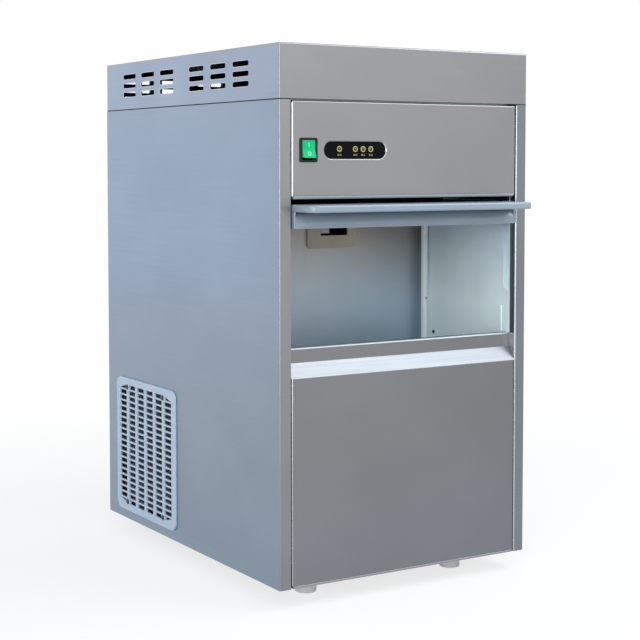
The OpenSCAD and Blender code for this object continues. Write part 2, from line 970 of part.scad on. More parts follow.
module condenser() {
  n = 20;
  gap = (cond_y1 - cond_y0 - 2) / n;
  color("silver")
    place() {
      for (k = [0 : n])
        bx([cond_x0, cond_x1], span(cond_y0 + k * gap, 0, 2), [cond_z0, cond_z1]);
      for (x = [cond_x0 + 12, cond_x1 - 12], k = [0 : 3])
        rod_y(cond_y0 - 4, cond_y1 + 4, x, cond_z0 + 26 + k * cond_rise, 5);
    }
}

module fan_shroud() {
  color("darkgray")
    place()
      difference() {
        union() {
          bx([cond_x1, cond_x1 + 2], [cond_y0, cond_y1], [cond_z0, cond_z1]);
          rod_x(cond_x1 + 1, shroud_x1, grille_y, fan_z, fan_r + 6);
          for (a = [45, 135, 225, 315])
            translate([0, grille_y, fan_z])
              rotate([a, 0, 0])
                bx([cond_x1 + 1, fmot_x0 + 3], [fan_r + 5, fan_r + 13], [-5, 5]);
          for (a = [45, 135, 225, 315])
            translate([0, grille_y, fan_z])
              rotate([a, 0, 0])
                bx([fmot_x0 - 3, fmot_x0 + 3], [36.2, fan_r + 13], [-5, 5]);
        }
        rod_x(cond_x1 - 1, shroud_x1 + 1, grille_y, fan_z, fan_r + 3);
      }
}

module fan_motor() {
  color("dimgray")
    place()
      difference() {
        union() {
          rod_x(fmot_x0, fmot_x0 + 46, grille_y, fan_z, 36);
          rod_x(fmot_x0 - 6, fmot_x0 + 1, grille_y, fan_z, 14);
        }
        rod_x(fmot_x0 - 7, fmot_x0 + 20, grille_y, fan_z, 4.05);
      }
}

module fan_blade() {
  color("dimgray")
    place()
      translate([fan_x, grille_y, fan_z]) {
        rod_x(-8, 8, 0, 0, 20);
        rod_x(-8, fmot_x0 - fan_x + 18, 0, 0, 4);
        for (a = [0 : 72 : 359])
          rotate([a, 0, 0])
            translate([0, 0, 15])
              rotate([0, 0, 32])
                bx([-1, 1], [-15, 15], [0, fan_r - 17]);
      }
}

module filter_drier() {
  color("peru")
    place()
      translate([drier_x, drier_y, 0])
        rotate_extrude()
          polygon([
            [0, drier_z0], [5, drier_z0], [5, 66 * drier_k], [15, 80 * drier_k],
            [15, 150 * drier_k], [5, 168 * drier_k], [5, drier_z1], [0, drier_z1]
          ]);
}

module discharge_pipe() {
  color("peru")
    place()
      pipe(
        [
          [comp_x + 35, comp_y + 20, comp_z + comp_h - 3.8], [comp_x + 35, comp_y + 20, over_z],
          [cond_x0 + 20, comp_y + 20, over_z], [cond_x0 + 20, comp_y + 20, cond_z1 + 0.2]
        ],
        pipe_r, 6
      );
}

module liquid_pipe() {
  x = cond_x0 + 20;
  y = comp_y + 60;
  color("peru")
    place() {
      pipe(
        [[x, y, cond_z1 + 0.2], [x, y, over_z], [drier_x, y, over_z], [drier_x, y, drier_z1 + 0.2]],
        pipe_r, 6
      );
      pipe(
        [
          [drier_x, drier_y, drier_z0 - 0.2], [drier_x, drier_y, drier_z0 - 20],
          [drier_x, rear_y, drier_z0 - 20],
          [drier_x, rear_y, coil_z], [evap_x, rear_y, coil_z],
          [evap_x, evap_y + coil_ring + coil_r + 0.2, coil_z]
        ],
        pipe_r, 10
      );
    }
}

module suction_pipe() {
  z = coil_z + (coil_n - 1) * coil_pitch;
  color("peru")
    place()
      pipe(
        [
          [evap_x + coil_ring + coil_r + 0.2, evap_y, z], [gland_x, evap_y, z],
          [gland_x, rear_y, z], [gland_x, rear_y, suction_z], [comp_x, rear_y, suction_z],
          [comp_x, comp_y + comp_r + 6.2, suction_z]
        ],
        pipe_r, 10
      );
}

// Controls

module control_board() {
  color("seagreen")
    place() {
      bx(span(display_x, -52, 140), [26, 27.6], span(control_z, -40, 40));
      for (x = [-48, 136], z = [-36, 36])
        rod_y(t, 26.5, display_x + x, control_z + z, 3);
    }
}

module switch_body() {
  color("black")
    place()
      difference() {
        union() {
          translate([switch_x, 0, control_z])
            along_y(-2, 0)
              rrect(25.5, 31, 2);
          bx(span(switch_x, -11, 11), [-0.5, 26], span(control_z, -14, 14));
        }
        bx(span(switch_x, -9.7, 9.7), [-3, 15], span(control_z, -12.9, 12.9));
        rod_x(switch_x - 10.8, switch_x + 10.8, rocker_y, control_z, 1.55);
      }
}

module switch_rocker() {
  color("limegreen")
    place()
      translate([switch_x, rocker_y, control_z])
        rotate([-rocker_tip, 0, 0]) {
          along_x(-9.3, 9.3)
            polygon([[-8.2, 11.2], [-6.2, 0], [-8.2, -11.2], [2, -9], [4.5, 0], [2, 9]]);
          rod_x(-10.6, 10.6, 0, 0, 1.5);
        }
}

module display_window() {
  color("black")
    place()
      translate([display_x, 0, control_z]) {
        along_y(0.8, 4)
          stadium(display_w - 0.4, display_h - 0.4);
        along_y(t, 4)
          stadium(display_w + 8, display_h + 8);
        bx([-30, 30], [3.9, 26], [-8, 8]);
      }
}

module indicator_lamps() {
  color("khaki")
    place()
      for (x = lamp_x)
        translate([display_x + x, 0, control_z])
          difference() {
            rod_y(0.5, 0.8, 0, 0, lamp_dia / 2);
            rod_y(0.4, 0.9, 0, 0, lamp_dia / 2 - 1.7);
          }
}

// Door and its links

module link_arm() {
  difference() {
    translate([arm_x, pin_y, pivot_z])
      rotate([-link_tilt, 0, 0]) {
        bx([0, arm_t], [0, link_r], [-5.5, 5.5]);
        rod_x(0, arm_t, 0, 0, arm_r);
        rod_x(0, arm_t, link_r, 0, arm_r);
      }
    rod_x(arm_x - 1, arm_x + arm_t + 1, pin_y, pivot_z, pivot_r + 0.05);
    rod_x(arm_x - 1, arm_x + arm_t + 1, mid_y, mid_z, pivot_r + 0.05);
  }
}

module left_link_arm() {
  color("gray")
    place()
      mirror([1, 0, 0])
        link_arm();
}

module right_link_arm() {
  color("gray")
    place()
      link_arm();
}

module door_shell() {
  skin = door_bot + liner_t;
  lip_z = door_top - lip_t;
  e = 2.5;
  color("lightsteelblue")
    place()
      difference() {
        union() {
          eased(
            [-body_half, body_half], [body_front, door_back], [skin, door_top],
            [2, 2, 4, 4], [0, 0, e, 0]
          );
          eased(
            [-lip_half, lip_half], [-lip_out, body_front + 4], [lip_z, door_top],
            [10, 10, 0, 0], [e, 0, 0, e]
          );
        }
        for (s = [-1, 1]) {
          rod_x(s > 0 ? body_half - 9 : -body_half - 1, s > 0 ? body_half + 1 : -body_half + 9,
            pin_y, pin_open, pin_r + 0.05);
          rod_x(s > 0 ? body_half - 9 : -body_half - 1, s > 0 ? body_half + 1 : -body_half + 9,
            mid_y, mid_z, pivot_r + 0.05);
        }
      }
}

module door_liner() {
  color("whitesmoke")
    place()
      eased(
        [-body_half + 1, body_half - 1], [body_front + 1, door_back - 1],
        [door_bot, door_bot + liner_t], [3, 3, 3, 3], [1.5, 1.5, 0, 0]
      );
}

module door_pins() {
  color("dimgray")
    place()
      for (s = [0, 1])
        mirror([s, 0, 0]) {
          rod_x(body_half - 8.9, bin_half + 5, pin_y, pin_open, pin_r);
          rod_x(body_half - 8.9, arm_x + arm_t - 0.1, mid_y, mid_z, pivot_r);
        }
}

base_pan();
front_left_foot();
front_right_foot();
rear_left_foot();
rear_right_foot();
left_side_panel();
right_side_panel();
back_panel();
top_cover();
control_panel();
lower_front_panel();
side_grille();
panel_screws();
bin_tub();
left_bin_wall();
right_bin_wall();
bin_ceiling();
bin_insulation();
sensor_tube();
ice_outlet();
ice_flap();
bin_drain();
drain_hose();
drain_tail();
inlet_valve();
inlet_hose();
power_gland();
machine_deck();
gearbox();
drive_motor();
evaporator_barrel();
evaporator_coil();
evaporator_jacket();
ice_head();
auger();
water_tank();
tank_float();
feed_hose();
compressor();
compressor_grommets();
condenser();
fan_shroud();
fan_motor();
fan_blade();
filter_drier();
discharge_pipe();
liquid_pipe();
suction_pipe();
control_board();
switch_body();
switch_rocker();
display_window();
indicator_lamps();
left_link_arm();
right_link_arm();
door_shell();
door_liner();
door_pins();
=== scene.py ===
"""Looks of a flake ice machine: casing, controls, door, bin, grille, feet and
machine room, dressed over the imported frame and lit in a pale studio."""

import logging
import math
from dataclasses import dataclass
from enum import Enum
from typing import Callable, Iterable, Optional, Sequence

import bmesh
import bpy
from mathutils import Matrix, Vector


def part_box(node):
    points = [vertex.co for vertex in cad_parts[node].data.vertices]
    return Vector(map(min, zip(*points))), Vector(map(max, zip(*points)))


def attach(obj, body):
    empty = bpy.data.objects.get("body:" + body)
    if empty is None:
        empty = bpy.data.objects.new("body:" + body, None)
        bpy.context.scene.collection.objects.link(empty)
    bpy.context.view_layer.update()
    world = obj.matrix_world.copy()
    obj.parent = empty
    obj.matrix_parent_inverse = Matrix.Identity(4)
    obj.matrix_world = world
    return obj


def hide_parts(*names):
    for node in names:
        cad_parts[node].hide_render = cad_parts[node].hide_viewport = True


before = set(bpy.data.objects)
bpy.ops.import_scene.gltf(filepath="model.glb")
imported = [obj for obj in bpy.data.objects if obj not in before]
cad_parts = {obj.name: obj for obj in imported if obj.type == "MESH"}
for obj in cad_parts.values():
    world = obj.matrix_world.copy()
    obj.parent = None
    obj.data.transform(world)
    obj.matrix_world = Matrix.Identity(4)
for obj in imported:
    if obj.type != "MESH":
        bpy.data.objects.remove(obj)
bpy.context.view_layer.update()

LOG = logging.getLogger("flake_ice_machine")
MM = 0.001
FRONT_FACE = -0.2555
BASE_LEVEL = 0.027
FINE_CREASE = 30.0
NEAR = 1e-6
PARALLEL = 0.9
SHARP = 0.7

Colour = tuple[float, float, float]
Point = tuple[float, float, float]
Outline = list[tuple[float, float]]
Socket = bpy.types.NodeSocket
PLAIN: Colour = (1.0, 1.0, 1.0)
WHITE_PAINT = (*PLAIN, 1.0)


def at(x: float, depth: float, z: float) -> Vector:
    """Places a cabinet point, in millimetres, in the shared frame.

    Args:
        x: Distance from the middle of the front.
        depth: Distance behind the front face.
        z: Height above the base sheet.

    Returns:
        The point in metres.
    """
    return Vector((x * MM, depth * MM + FRONT_FACE, z * MM + BASE_LEVEL))


def both_sides(inner: float, outer: float) -> Outline:
    """Gives the spans from inner to outer on the left and on the right."""
    return [(-outer, -inner), (inner, outer)]


def rounded(wide: float, high: float, radius: float, steps: int = 6) -> Outline:
    """Draws a rectangle with round corners about the origin.

    Args:
        wide: Its size along x.
        high: Its size along y.
        radius: Radius of its corners.
        steps: Facets of each corner.

    Returns:
        Its points, anticlockwise.
    """
    points = []
    for corner, (sx, sy) in enumerate(((1, 1), (-1, 1), (-1, -1), (1, -1))):
        for k in range(steps + 1):
            turn = math.radians(90 * corner + 90 * k / steps)
            points.append((sx * (wide / 2 - radius) + radius * math.cos(turn),
                           sy * (high / 2 - radius) + radius * math.sin(turn)))
    return points


def bend(centre: tuple[float, float], radius: float, start: float, stop: float,
         thick: float = 0.3) -> Outline:
    """Draws a thin strip that follows a bend.

    Args:
        centre: Centre of the bend.
        radius: Its outer radius.
        start: Angle where the strip starts, in degrees.
        stop: Angle where it stops.
        thick: Thickness of the strip.

    Returns:
        Its points, out along the bend and back.
    """
    turns = [math.radians(start + (stop - start) * k / 6) for k in range(7)]
    path = [(radius, a) for a in turns] + [(radius - thick, a) for a in reversed(turns)]
    return [(centre[0] + r * math.cos(a), centre[1] + r * math.sin(a)) for r, a in path]


def pull(part: bmesh.types.BMesh, height: float) -> None:
    """Thickens a flat part along z.

    Args:
        part: The flat part, which becomes the back.
        height: Its new height in metres.
    """
    grown = bmesh.ops.extrude_face_region(part, geom=list(part.faces))
    tops = [v for v in grown["geom"] if isinstance(v, bmesh.types.BMVert)]
    bmesh.ops.translate(part, vec=(0, 0, height), verts=tops)
    bmesh.ops.recalc_face_normals(part, faces=part.faces)


def pierced(across: Sequence[float], up: Sequence[float]) -> bmesh.types.BMesh:
    """Makes a flat plate with a hole in every second cell of a grid.

    Args:
        across: Grid lines along x, in millimetres.
        up: Grid lines along y.

    Returns:
        The plate.
    """
    part = bmesh.new()
    columns, rows = len(across) - 1, len(up) - 1
    bmesh.ops.create_grid(part, x_segments=columns, y_segments=rows, size=1.0)
    holes = []
    for face in part.faces:
        middle = face.calc_center_median()
        if int((middle.x + 1) / 2 * columns) % 2 == 1 and int((middle.y + 1) / 2 * rows) % 2 == 1:
            holes.append(face)
    for vert in part.verts:
        i, k = round((vert.co.x + 1) / 2 * columns), round((vert.co.y + 1) / 2 * rows)
        vert.co = Vector((across[i], up[k], 0.0)) * MM
    bmesh.ops.delete(part, geom=holes, context="FACES")
    return part


def add(tree: bpy.types.NodeTree, kind: str, inputs: dict[int | str, object],
        **settings: object) -> bpy.types.Node:
    """Adds a node with its settings and inputs.

    Args:
        tree: Node tree that takes it.
        kind: Type of the node.
        inputs: Values or leading sockets of its inputs, by name or number.
        settings: Properties of the node.

    Returns:
        The new node.
    """
    node = tree.nodes.new(kind)
    for key, value in settings.items():
        setattr(node, key, value)
    for key, value in inputs.items():
        if isinstance(value, Socket):
            tree.links.new(value, node.inputs[key])
        else:
            node.inputs[key].default_value = value
    return node


def ramp(tree: bpy.types.NodeTree, value: Socket, source: tuple[float, float],
         result: tuple[float, float] = (0.0, 1.0), **settings: object) -> Socket:
    """Adds a map from one range of values onto another.

    Args:
        tree: Node tree that takes it.
        value: Socket that is mapped.
        source: Range that is read.
        result: Range that it becomes.
        settings: Properties of the node.

    Returns:
        The mapped socket.
    """
    ends = {"From Min": source[0], "From Max": source[1], "To Min": result[0], "To Max": result[1]}
    return add(tree, "ShaderNodeMapRange", {"Value": value, **ends}, **settings).outputs["Result"]


class Body(str, Enum):
    """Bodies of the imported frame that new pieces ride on."""

    CABINET = "cabinet"
    DOOR = "door"
    ROCKER = "rocker"
    FAN = "fan"


class Axis(Enum):
    """Turns that lay an upright shape along one of the frame's axes."""

    X = Matrix.Rotation(math.radians(90), 4, "Y")
    MINUS_X = Matrix.Rotation(math.radians(-90), 4, "Y")
    Y = Matrix.Rotation(math.radians(-90), 4, "X")
    MINUS_Y = Matrix.Rotation(math.radians(90), 4, "X")
    Z = Matrix.Identity(4)


LAY_ACROSS = Matrix(((0, 0, 1, 0), (1, 0, 0, 0), (0, 1, 0, 0), (0, 0, 0, 1)))
HOME = Matrix.Translation(at(0.0, 0.0, 0.0))
ACROSS = HOME @ LAY_ACROSS


def stand(where: Vector, axis: Axis) -> Matrix:
    """Gives the matrix that puts an upright shape at a place, along an axis."""
    return Matrix.Translation(where) @ axis.value


class Grain(Enum):
    """Run of the polishing lines on sheet metal, as pattern scales."""

    LEVEL = (7.0, 7.0, 1300.0)
    UPRIGHT = (1300.0, 1300.0, 7.0)
    ACROSS = (7.0, 1300.0, 1300.0)


class NodeSheet:
    """Nodes of one material while it is being laid out."""

    def __init__(self, name: str) -> None:
        """Starts a material with a plain shader."""
        self.material = bpy.data.materials.new(name)
        self.material.use_nodes = True
        self.tree = self.material.node_tree
        self.shader = self.tree.nodes["Principled BSDF"]
        self.place = self.tree.nodes.new("ShaderNodeTexCoord").outputs["Object"]

    def set(self, **values: object) -> None:
        """Sets sockets of the shader; an underscore stands for a space."""
        for key, value in values.items():
            self.shader.inputs[key.replace("_", " ")].default_value = value

    def noise(self, scale: Sequence[float], detail: float = 3.0, rough: float = 0.5) -> Socket:
        """Adds a noise pattern on Object coordinates.

        Args:
            scale: Pattern scale along x, y and z, per metre.
            detail: Number of finer layers.
            rough: Strength of the finer layers.

        Returns:
            The pattern's value socket.
        """
        mapping = add(self.tree, "ShaderNodeMapping", {"Vector": self.place, "Scale": scale})
        values = {"Scale": 1.0, "Detail": detail, "Roughness": rough}
        node = add(self.tree, "ShaderNodeTexNoise", {"Vector": mapping.outputs["Vector"], **values})
        return node.outputs["Fac"]

    def spread(self, value: Socket, low: float, high: float) -> Socket:
        """Maps a pattern's middle range onto two values.

        Args:
            value: The pattern.
            low: Result at its dark end.
            high: Result at its light end.

        Returns:
            The mapped socket.
        """
        return ramp(self.tree, value, (0.3, 0.7), (low, high))

    def mix(self, share: Socket | float, first: object, second: object, how: str = "MIX") -> Socket:
        """Mixes two colours.

        Args:
            share: Share of the second one.
            first: Colour or colour socket.
            second: Colour or colour socket.
            how: Way of mixing.

        Returns:
            The mixed colour socket.
        """
        inputs = {0: share, 6: first, 7: second}
        return add(self.tree, "ShaderNodeMix", inputs, data_type="RGBA", blend_type=how).outputs[2]

    def clouded(self, value: Socket, colour: Colour, share: float) -> Socket:
        """Lightens and darkens a colour by a pattern.

        Args:
            value: The pattern.
            colour: The colour.
            share: Most that it changes, as a share of itself.

        Returns:
            The clouded colour socket.
        """
        return self.blend(value, shade(colour, -share), shade(colour, share))

    def blend(self, value: Socket, first: Colour, second: Colour) -> Socket:
        """Blends two colours by a pattern.

        Args:
            value: The pattern that chooses between them.
            first: Colour where the pattern is low.
            second: Colour where it is high.

        Returns:
            The blended colour socket.
        """
        return self.mix(self.spread(value, 0.0, 1.0), (*first, 1.0), (*second, 1.0))

    def run(self, source: Socket, axis: str, start: float, stop: float) -> Socket:
        """Adds a share that runs from nought to one along an axis.

        Args:
            source: Place or normal that is read.
            axis: Letter of the axis.
            start: Value where the share is nought.
            stop: Value where it is one.

        Returns:
            The share's socket.
        """
        split = add(self.tree, "ShaderNodeSeparateXYZ", {0: source})
        return ramp(self.tree, split.outputs[axis], (start, stop))

    def front(self, colour: Socket, other: Socket) -> Socket:
        """Paints a lit or shaded copy of the colour onto faces that look to the front.

        Args:
            colour: Colour of the other faces.
            other: Colour of the front faces.

        Returns:
            The joined colour socket.
        """
        normal = self.place.node.outputs["Normal"]
        return self.mix(self.run(normal, "Y", -0.3, -0.8), colour, other)

    def paint_light_along(self, colour: Socket, foot: Colour, axis: str = "Z", start: float = 0.05,
             stop: float = 0.66) -> Socket:
        """Paints light or shade into a colour along an axis, from the floor up unless told otherwise.

        Args:
            colour: The colour.
            foot: Painted light or shade where the run starts; its end keeps its colour.
            axis: Letter of the axis.
            start: Start of the run in metres.
            stop: End of the run.

        Returns:
            The tinted colour socket.
        """
        tint = self.mix(self.run(self.place, axis, start, stop), (*foot, 1.0), WHITE_PAINT)
        return self.mix(1.0, colour, tint, "MULTIPLY")

    def bump(self, value: Socket, strength: float, height: float) -> None:
        """Raises the surface by a pattern.

        Args:
            value: The pattern.
            strength: Share of the bump that shows.
            height: Depth of the pattern in metres.
        """
        inputs = {"Strength": strength, "Distance": height, "Height": value}
        self.feed(add(self.tree, "ShaderNodeBump", inputs).outputs["Normal"], "Normal")

    def feed(self, socket: Socket, name: str) -> None:
        """Leads a socket into one of the shader's inputs."""
        self.tree.links.new(socket, self.shader.inputs[name])


def shade(colour: Colour, share: float) -> Colour:
    """Lightens or darkens a colour by a share of itself."""
    return tuple(max(0.0, min(1.0, c * (1.0 + share))) for c in colour)


@dataclass(frozen=True)
class SheetSteel:
    """Satin sheet metal with fine polishing lines and soft clouding, and painted light and shade: a
    tint by height, a painted shade towards the right and a lit or shaded copy on front faces.
    """

    name: str
    tone: Colour
    rough: float = 0.33
    grain: Grain = Grain.LEVEL
    lines: float = 0.05
    cloud: float = 0.05
    # Painted light or shade over the low part, up to the top of rise.
    foot: Colour = PLAIN
    rise: tuple[float, float] = (0.05, 0.66)
    # Painted shade towards the right-hand end.
    right: Colour = PLAIN
    # Painted lit or shaded copy of the tone for faces that look to the front.
    front: Optional[Colour] = None
    # Painted shade over the low part of the front faces.
    front_painted_low_shade: Colour = PLAIN

    def material(self) -> bpy.types.Material:
        """Lays out the material and returns it."""
        sheet = NodeSheet(self.name)
        streaks = sheet.noise(self.grain.value, 2.0, 0.6)
        clouds = sheet.noise((5.0, 5.0, 7.0), 4.0)
        sheet.set(Metallic=1.0, Specular_IOR_Level=0.5)
        # Painted light and shade: the tone is tinted by height and towards the right, and front faces
        # take a lit or shaded copy.
        tones = sheet.paint_light_along(sheet.clouded(clouds, self.tone, self.cloud), self.foot, "Z", *self.rise)
        tones = sheet.paint_light_along(tones, self.right, "X", 0.2, -0.2)
        if self.front is not None:
            other = sheet.clouded(clouds, self.front, self.cloud)
            tones = sheet.front(tones, sheet.paint_light_along(other, self.front_painted_low_shade))
        sheet.feed(tones, "Base Color")
        sheet.feed(sheet.spread(streaks, self.rough - self.lines, self.rough + self.lines), "Roughness")
        sheet.bump(streaks, 0.05, 0.0002)
        return sheet.material


@dataclass(frozen=True)
class BareMetal:
    """Worked metal such as copper, castings and fins, with dull patches."""

    name: str
    tone: Colour
    dull: Colour
    rough: float = 0.35
    scale: float = 60.0
    metal: float = 1.0

    def material(self) -> bpy.types.Material:
        """Lays out the material and returns it."""
        sheet = NodeSheet(self.name)
        patches = sheet.noise((self.scale,) * 3, 5.0, 0.6)
        skin = sheet.noise((self.scale * 12,) * 3, 2.0)
        sheet.set(Metallic=self.metal)
        sheet.feed(sheet.blend(patches, self.tone, self.dull), "Base Color")
        sheet.feed(sheet.spread(patches, self.rough - 0.06, self.rough + 0.14), "Roughness")
        sheet.bump(skin, 0.12, 0.0002)
        return sheet.material


@dataclass(frozen=True)
class Moulded:
    """Moulded plastic, rubber or foam with a fine skin and slight mottling, and an optional painted
    light or shade by height.
    """

    name: str
    colour: Colour
    rough: float = 0.45
    skin: float = 1400.0
    relief: float = 0.10
    mottle: float = 0.05
    coat: float = 0.0
    gloss: float = 0.5
    # Painted light or shade over the low part, up to the top of rise.
    foot: Colour = PLAIN
    rise: tuple[float, float] = (0.05, 0.66)

    def material(self) -> bpy.types.Material:
        """Lays out the material and returns it."""
        sheet = NodeSheet(self.name)
        cells = sheet.noise((self.skin,) * 3, 2.0)
        clouds = sheet.noise((22.0, 22.0, 22.0), 4.0)
        tones = sheet.clouded(clouds, self.colour, self.mottle)
        sheet.set(Coat_Weight=self.coat, Coat_Roughness=0.06, Specular_IOR_Level=self.gloss)
        # Painted light or shade by height.
        sheet.feed(sheet.paint_light_along(tones, self.foot, "Z", *self.rise), "Base Color")
        sheet.feed(sheet.spread(cells, self.rough - 0.05, self.rough + 0.05), "Roughness")
        sheet.bump(cells, self.relief, 0.0003)
        return sheet.material


@dataclass(frozen=True)
class LitPlastic:
    """Clear coloured plastic with a lamp behind it."""

    name: str
    colour: Colour
    glow: float = 0.4
    rough: float = 0.22
    patch: float = 70.0

    def material(self) -> bpy.types.Material:
        """Lays out the material and returns it."""
        sheet = NodeSheet(self.name)
        clouds = sheet.noise((self.patch,) * 3, 2.0)
        sheet.set(Emission_Strength=self.glow, Specular_IOR_Level=0.08)
        sheet.feed(sheet.blend(clouds, shade(self.colour, -0.18), self.colour), "Base Color")
        sheet.feed(sheet.blend(clouds, shade(self.colour, -0.3), self.colour), "Emission Color")
        sheet.feed(sheet.spread(clouds, self.rough - 0.04, self.rough + 0.08), "Roughness")
        return sheet.material


Finish = SheetSteel | BareMetal | Moulded | LitPlastic


class Finishes:
    """Every finish of the machine."""

    # The casing steel is painted darker towards the right, a painted shade.
    CASING = SheetSteel("satin_casing_steel_painted_shade", (0.342, 0.346, 0.356), right=(0.86, 0.85, 0.86))
    # The left side is a bluish copy of the casing steel, a painted sky reflection, bluer and darker
    # towards the floor, with a lit copy on its front faces.
    SIDE = SheetSteel("satin_side_steel_painted_reflection", (0.318, 0.334, 0.345), 0.36, foot=(0.79, 0.92, 1.10),
                      front=(0.350, 0.352, 0.358), front_painted_low_shade=(0.72, 0.73, 0.76))
    # The right side is a darker copy of the same steel, painted shade for the side away from the lamps,
    # with a shaded copy on its front faces.
    FAR_SIDE = SheetSteel("satin_far_side_steel_painted_shade", (0.262, 0.280, 0.300), 0.36,
                          front=(0.232, 0.250, 0.280), front_painted_low_shade=(0.92, 0.92, 0.92))
    # The lower front is a darker copy of the casing steel, painted shade, darker and bluer towards the
    # floor and darker towards the right.
    LOWER = SheetSteel("satin_lower_steel_painted_shade", (0.272, 0.266, 0.262), foot=(0.85, 0.91, 1.0),
                       right=(0.85, 0.85, 0.87))
    # The next three finishes are brighter copies of the steel, for painted highlights on folded edges,
    # rims and bends.
    EDGE = SheetSteel("edge_steel_painted_highlight", (0.48, 0.50, 0.53), 0.25)
    BRIGHT = SheetSteel("polished_steel_painted_highlight", (0.82, 0.84, 0.87), 0.22)
    PAINTED_BEND_HIGHLIGHT = BareMetal("pale_steel_painted_highlight", (0.60, 0.64, 0.66), (0.56, 0.60, 0.62), 0.4, 40.0, 0.2)
    # The bin steel is painted lighter and bluer towards its floor, painted light where the front light
    # falls in; the evaporator barrel and auger carry it too.
    BIN = SheetSteel("bin_lining_steel_painted_light", (0.41, 0.37, 0.335), 0.50, Grain.UPRIGHT,
                     foot=(1.36, 1.77, 2.22), rise=(0.36, 0.47))
    ZINC = SheetSteel("zinc_coated_steel", (0.46, 0.47, 0.48), 0.38, Grain.ACROSS, 0.08, 0.14)
    SCREW = BareMetal("screw_steel", (0.10, 0.10, 0.105), (0.05, 0.05, 0.052), 0.35, 300.0)
    ARM = BareMetal("arm_steel", (0.45, 0.46, 0.47), (0.36, 0.37, 0.38), 0.32, 90.0)
    DOOR = Moulded("door_grey_plastic", (0.275, 0.33, 0.40), 0.26, 1600.0, 0.05, 0.03, gloss=0.75)
    LINER = Moulded("door_white_plastic", (0.72, 0.78, 0.82), 0.4)
    GRILLE = Moulded("grille_grey_plastic", (0.52, 0.62, 0.75), 0.42)
    # The bin wall plastic is painted lighter towards its foot, painted light where the front light
    # falls in, and so darker under the door.
    BIN_WALL = Moulded("bin_wall_plastic_painted_light", (0.56, 0.65, 0.71), 0.38, 900.0, 0.05, 0.03,
                       foot=(1.56, 1.51, 1.40), rise=(0.37, 0.50))
    TUBE = Moulded("tube_plastic", (0.91, 0.96, 0.98), 0.36)
    FOOT = Moulded("foot_plastic", (0.96, 0.98, 0.99), 0.45)
    OUTLET = Moulded("outlet_plastic", (0.71, 0.61, 0.46), 0.42)
    WHITE = Moulded("white_fitting_plastic", (0.70, 0.70, 0.68), 0.38)
    BLACK = Moulded("black_fitting_plastic", (0.016, 0.016, 0.018), 0.42, gloss=0.2)
    DISPLAY = Moulded("display_black", (0.004, 0.004, 0.005), 0.25, 2500.0, 0.01, 0.2, gloss=0.06)
    PRINT = LitPlastic("lamp_print", (0.46, 0.43, 0.17), 0.25, 0.4, 200.0)
    ROCKER = LitPlastic("rocker_green", (0.006, 0.46, 0.18), 0.3)
    MARK = LitPlastic("rocker_mark_white", (0.45, 0.72, 0.55), 0.2, 0.4, 200.0)
    FOAM = Moulded("cream_foam", (0.60, 0.54, 0.38), 0.85, 260.0, 0.5, 0.10)
    HOSE = Moulded("hose_grey", (0.42, 0.42, 0.43), 0.5, 700.0, 0.2)
    RUBBER = Moulded("rubber", (0.025, 0.025, 0.026), 0.7, 900.0, 0.25)
    COPPER = BareMetal("copper", (0.62, 0.30, 0.18), (0.38, 0.17, 0.10), 0.3, 70.0)
    ALUMINIUM = BareMetal("aluminium_fin", (0.42, 0.43, 0.44), (0.30, 0.31, 0.32), 0.4, 40.0)
    CAST = BareMetal("cast_grey", (0.22, 0.23, 0.24), (0.15, 0.155, 0.16), 0.5, 120.0, 0.6)
    MOTOR = BareMetal("motor_grey", (0.16, 0.165, 0.17), (0.11, 0.115, 0.12), 0.45, 80.0, 0.5)
    COMPRESSOR = Moulded("compressor_black", (0.012, 0.012, 0.013), 0.28, 500.0, 0.12, 0.1, 0.2)
    FAN = BareMetal("fan_grey", (0.26, 0.27, 0.28), (0.20, 0.205, 0.21), 0.42, 70.0, 0.4)
    BOARD = Moulded("board_green", (0.03, 0.17, 0.07), 0.35, 600.0, 0.1, 0.12)

    _made: dict[str, bpy.types.Material] = {}

    @classmethod
    def get(cls, finish: Finish) -> bpy.types.Material:
        """Returns the material of a finish, laid out once."""
        if finish.name not in cls._made:
            cls._made[finish.name] = finish.material()
        return cls._made[finish.name]


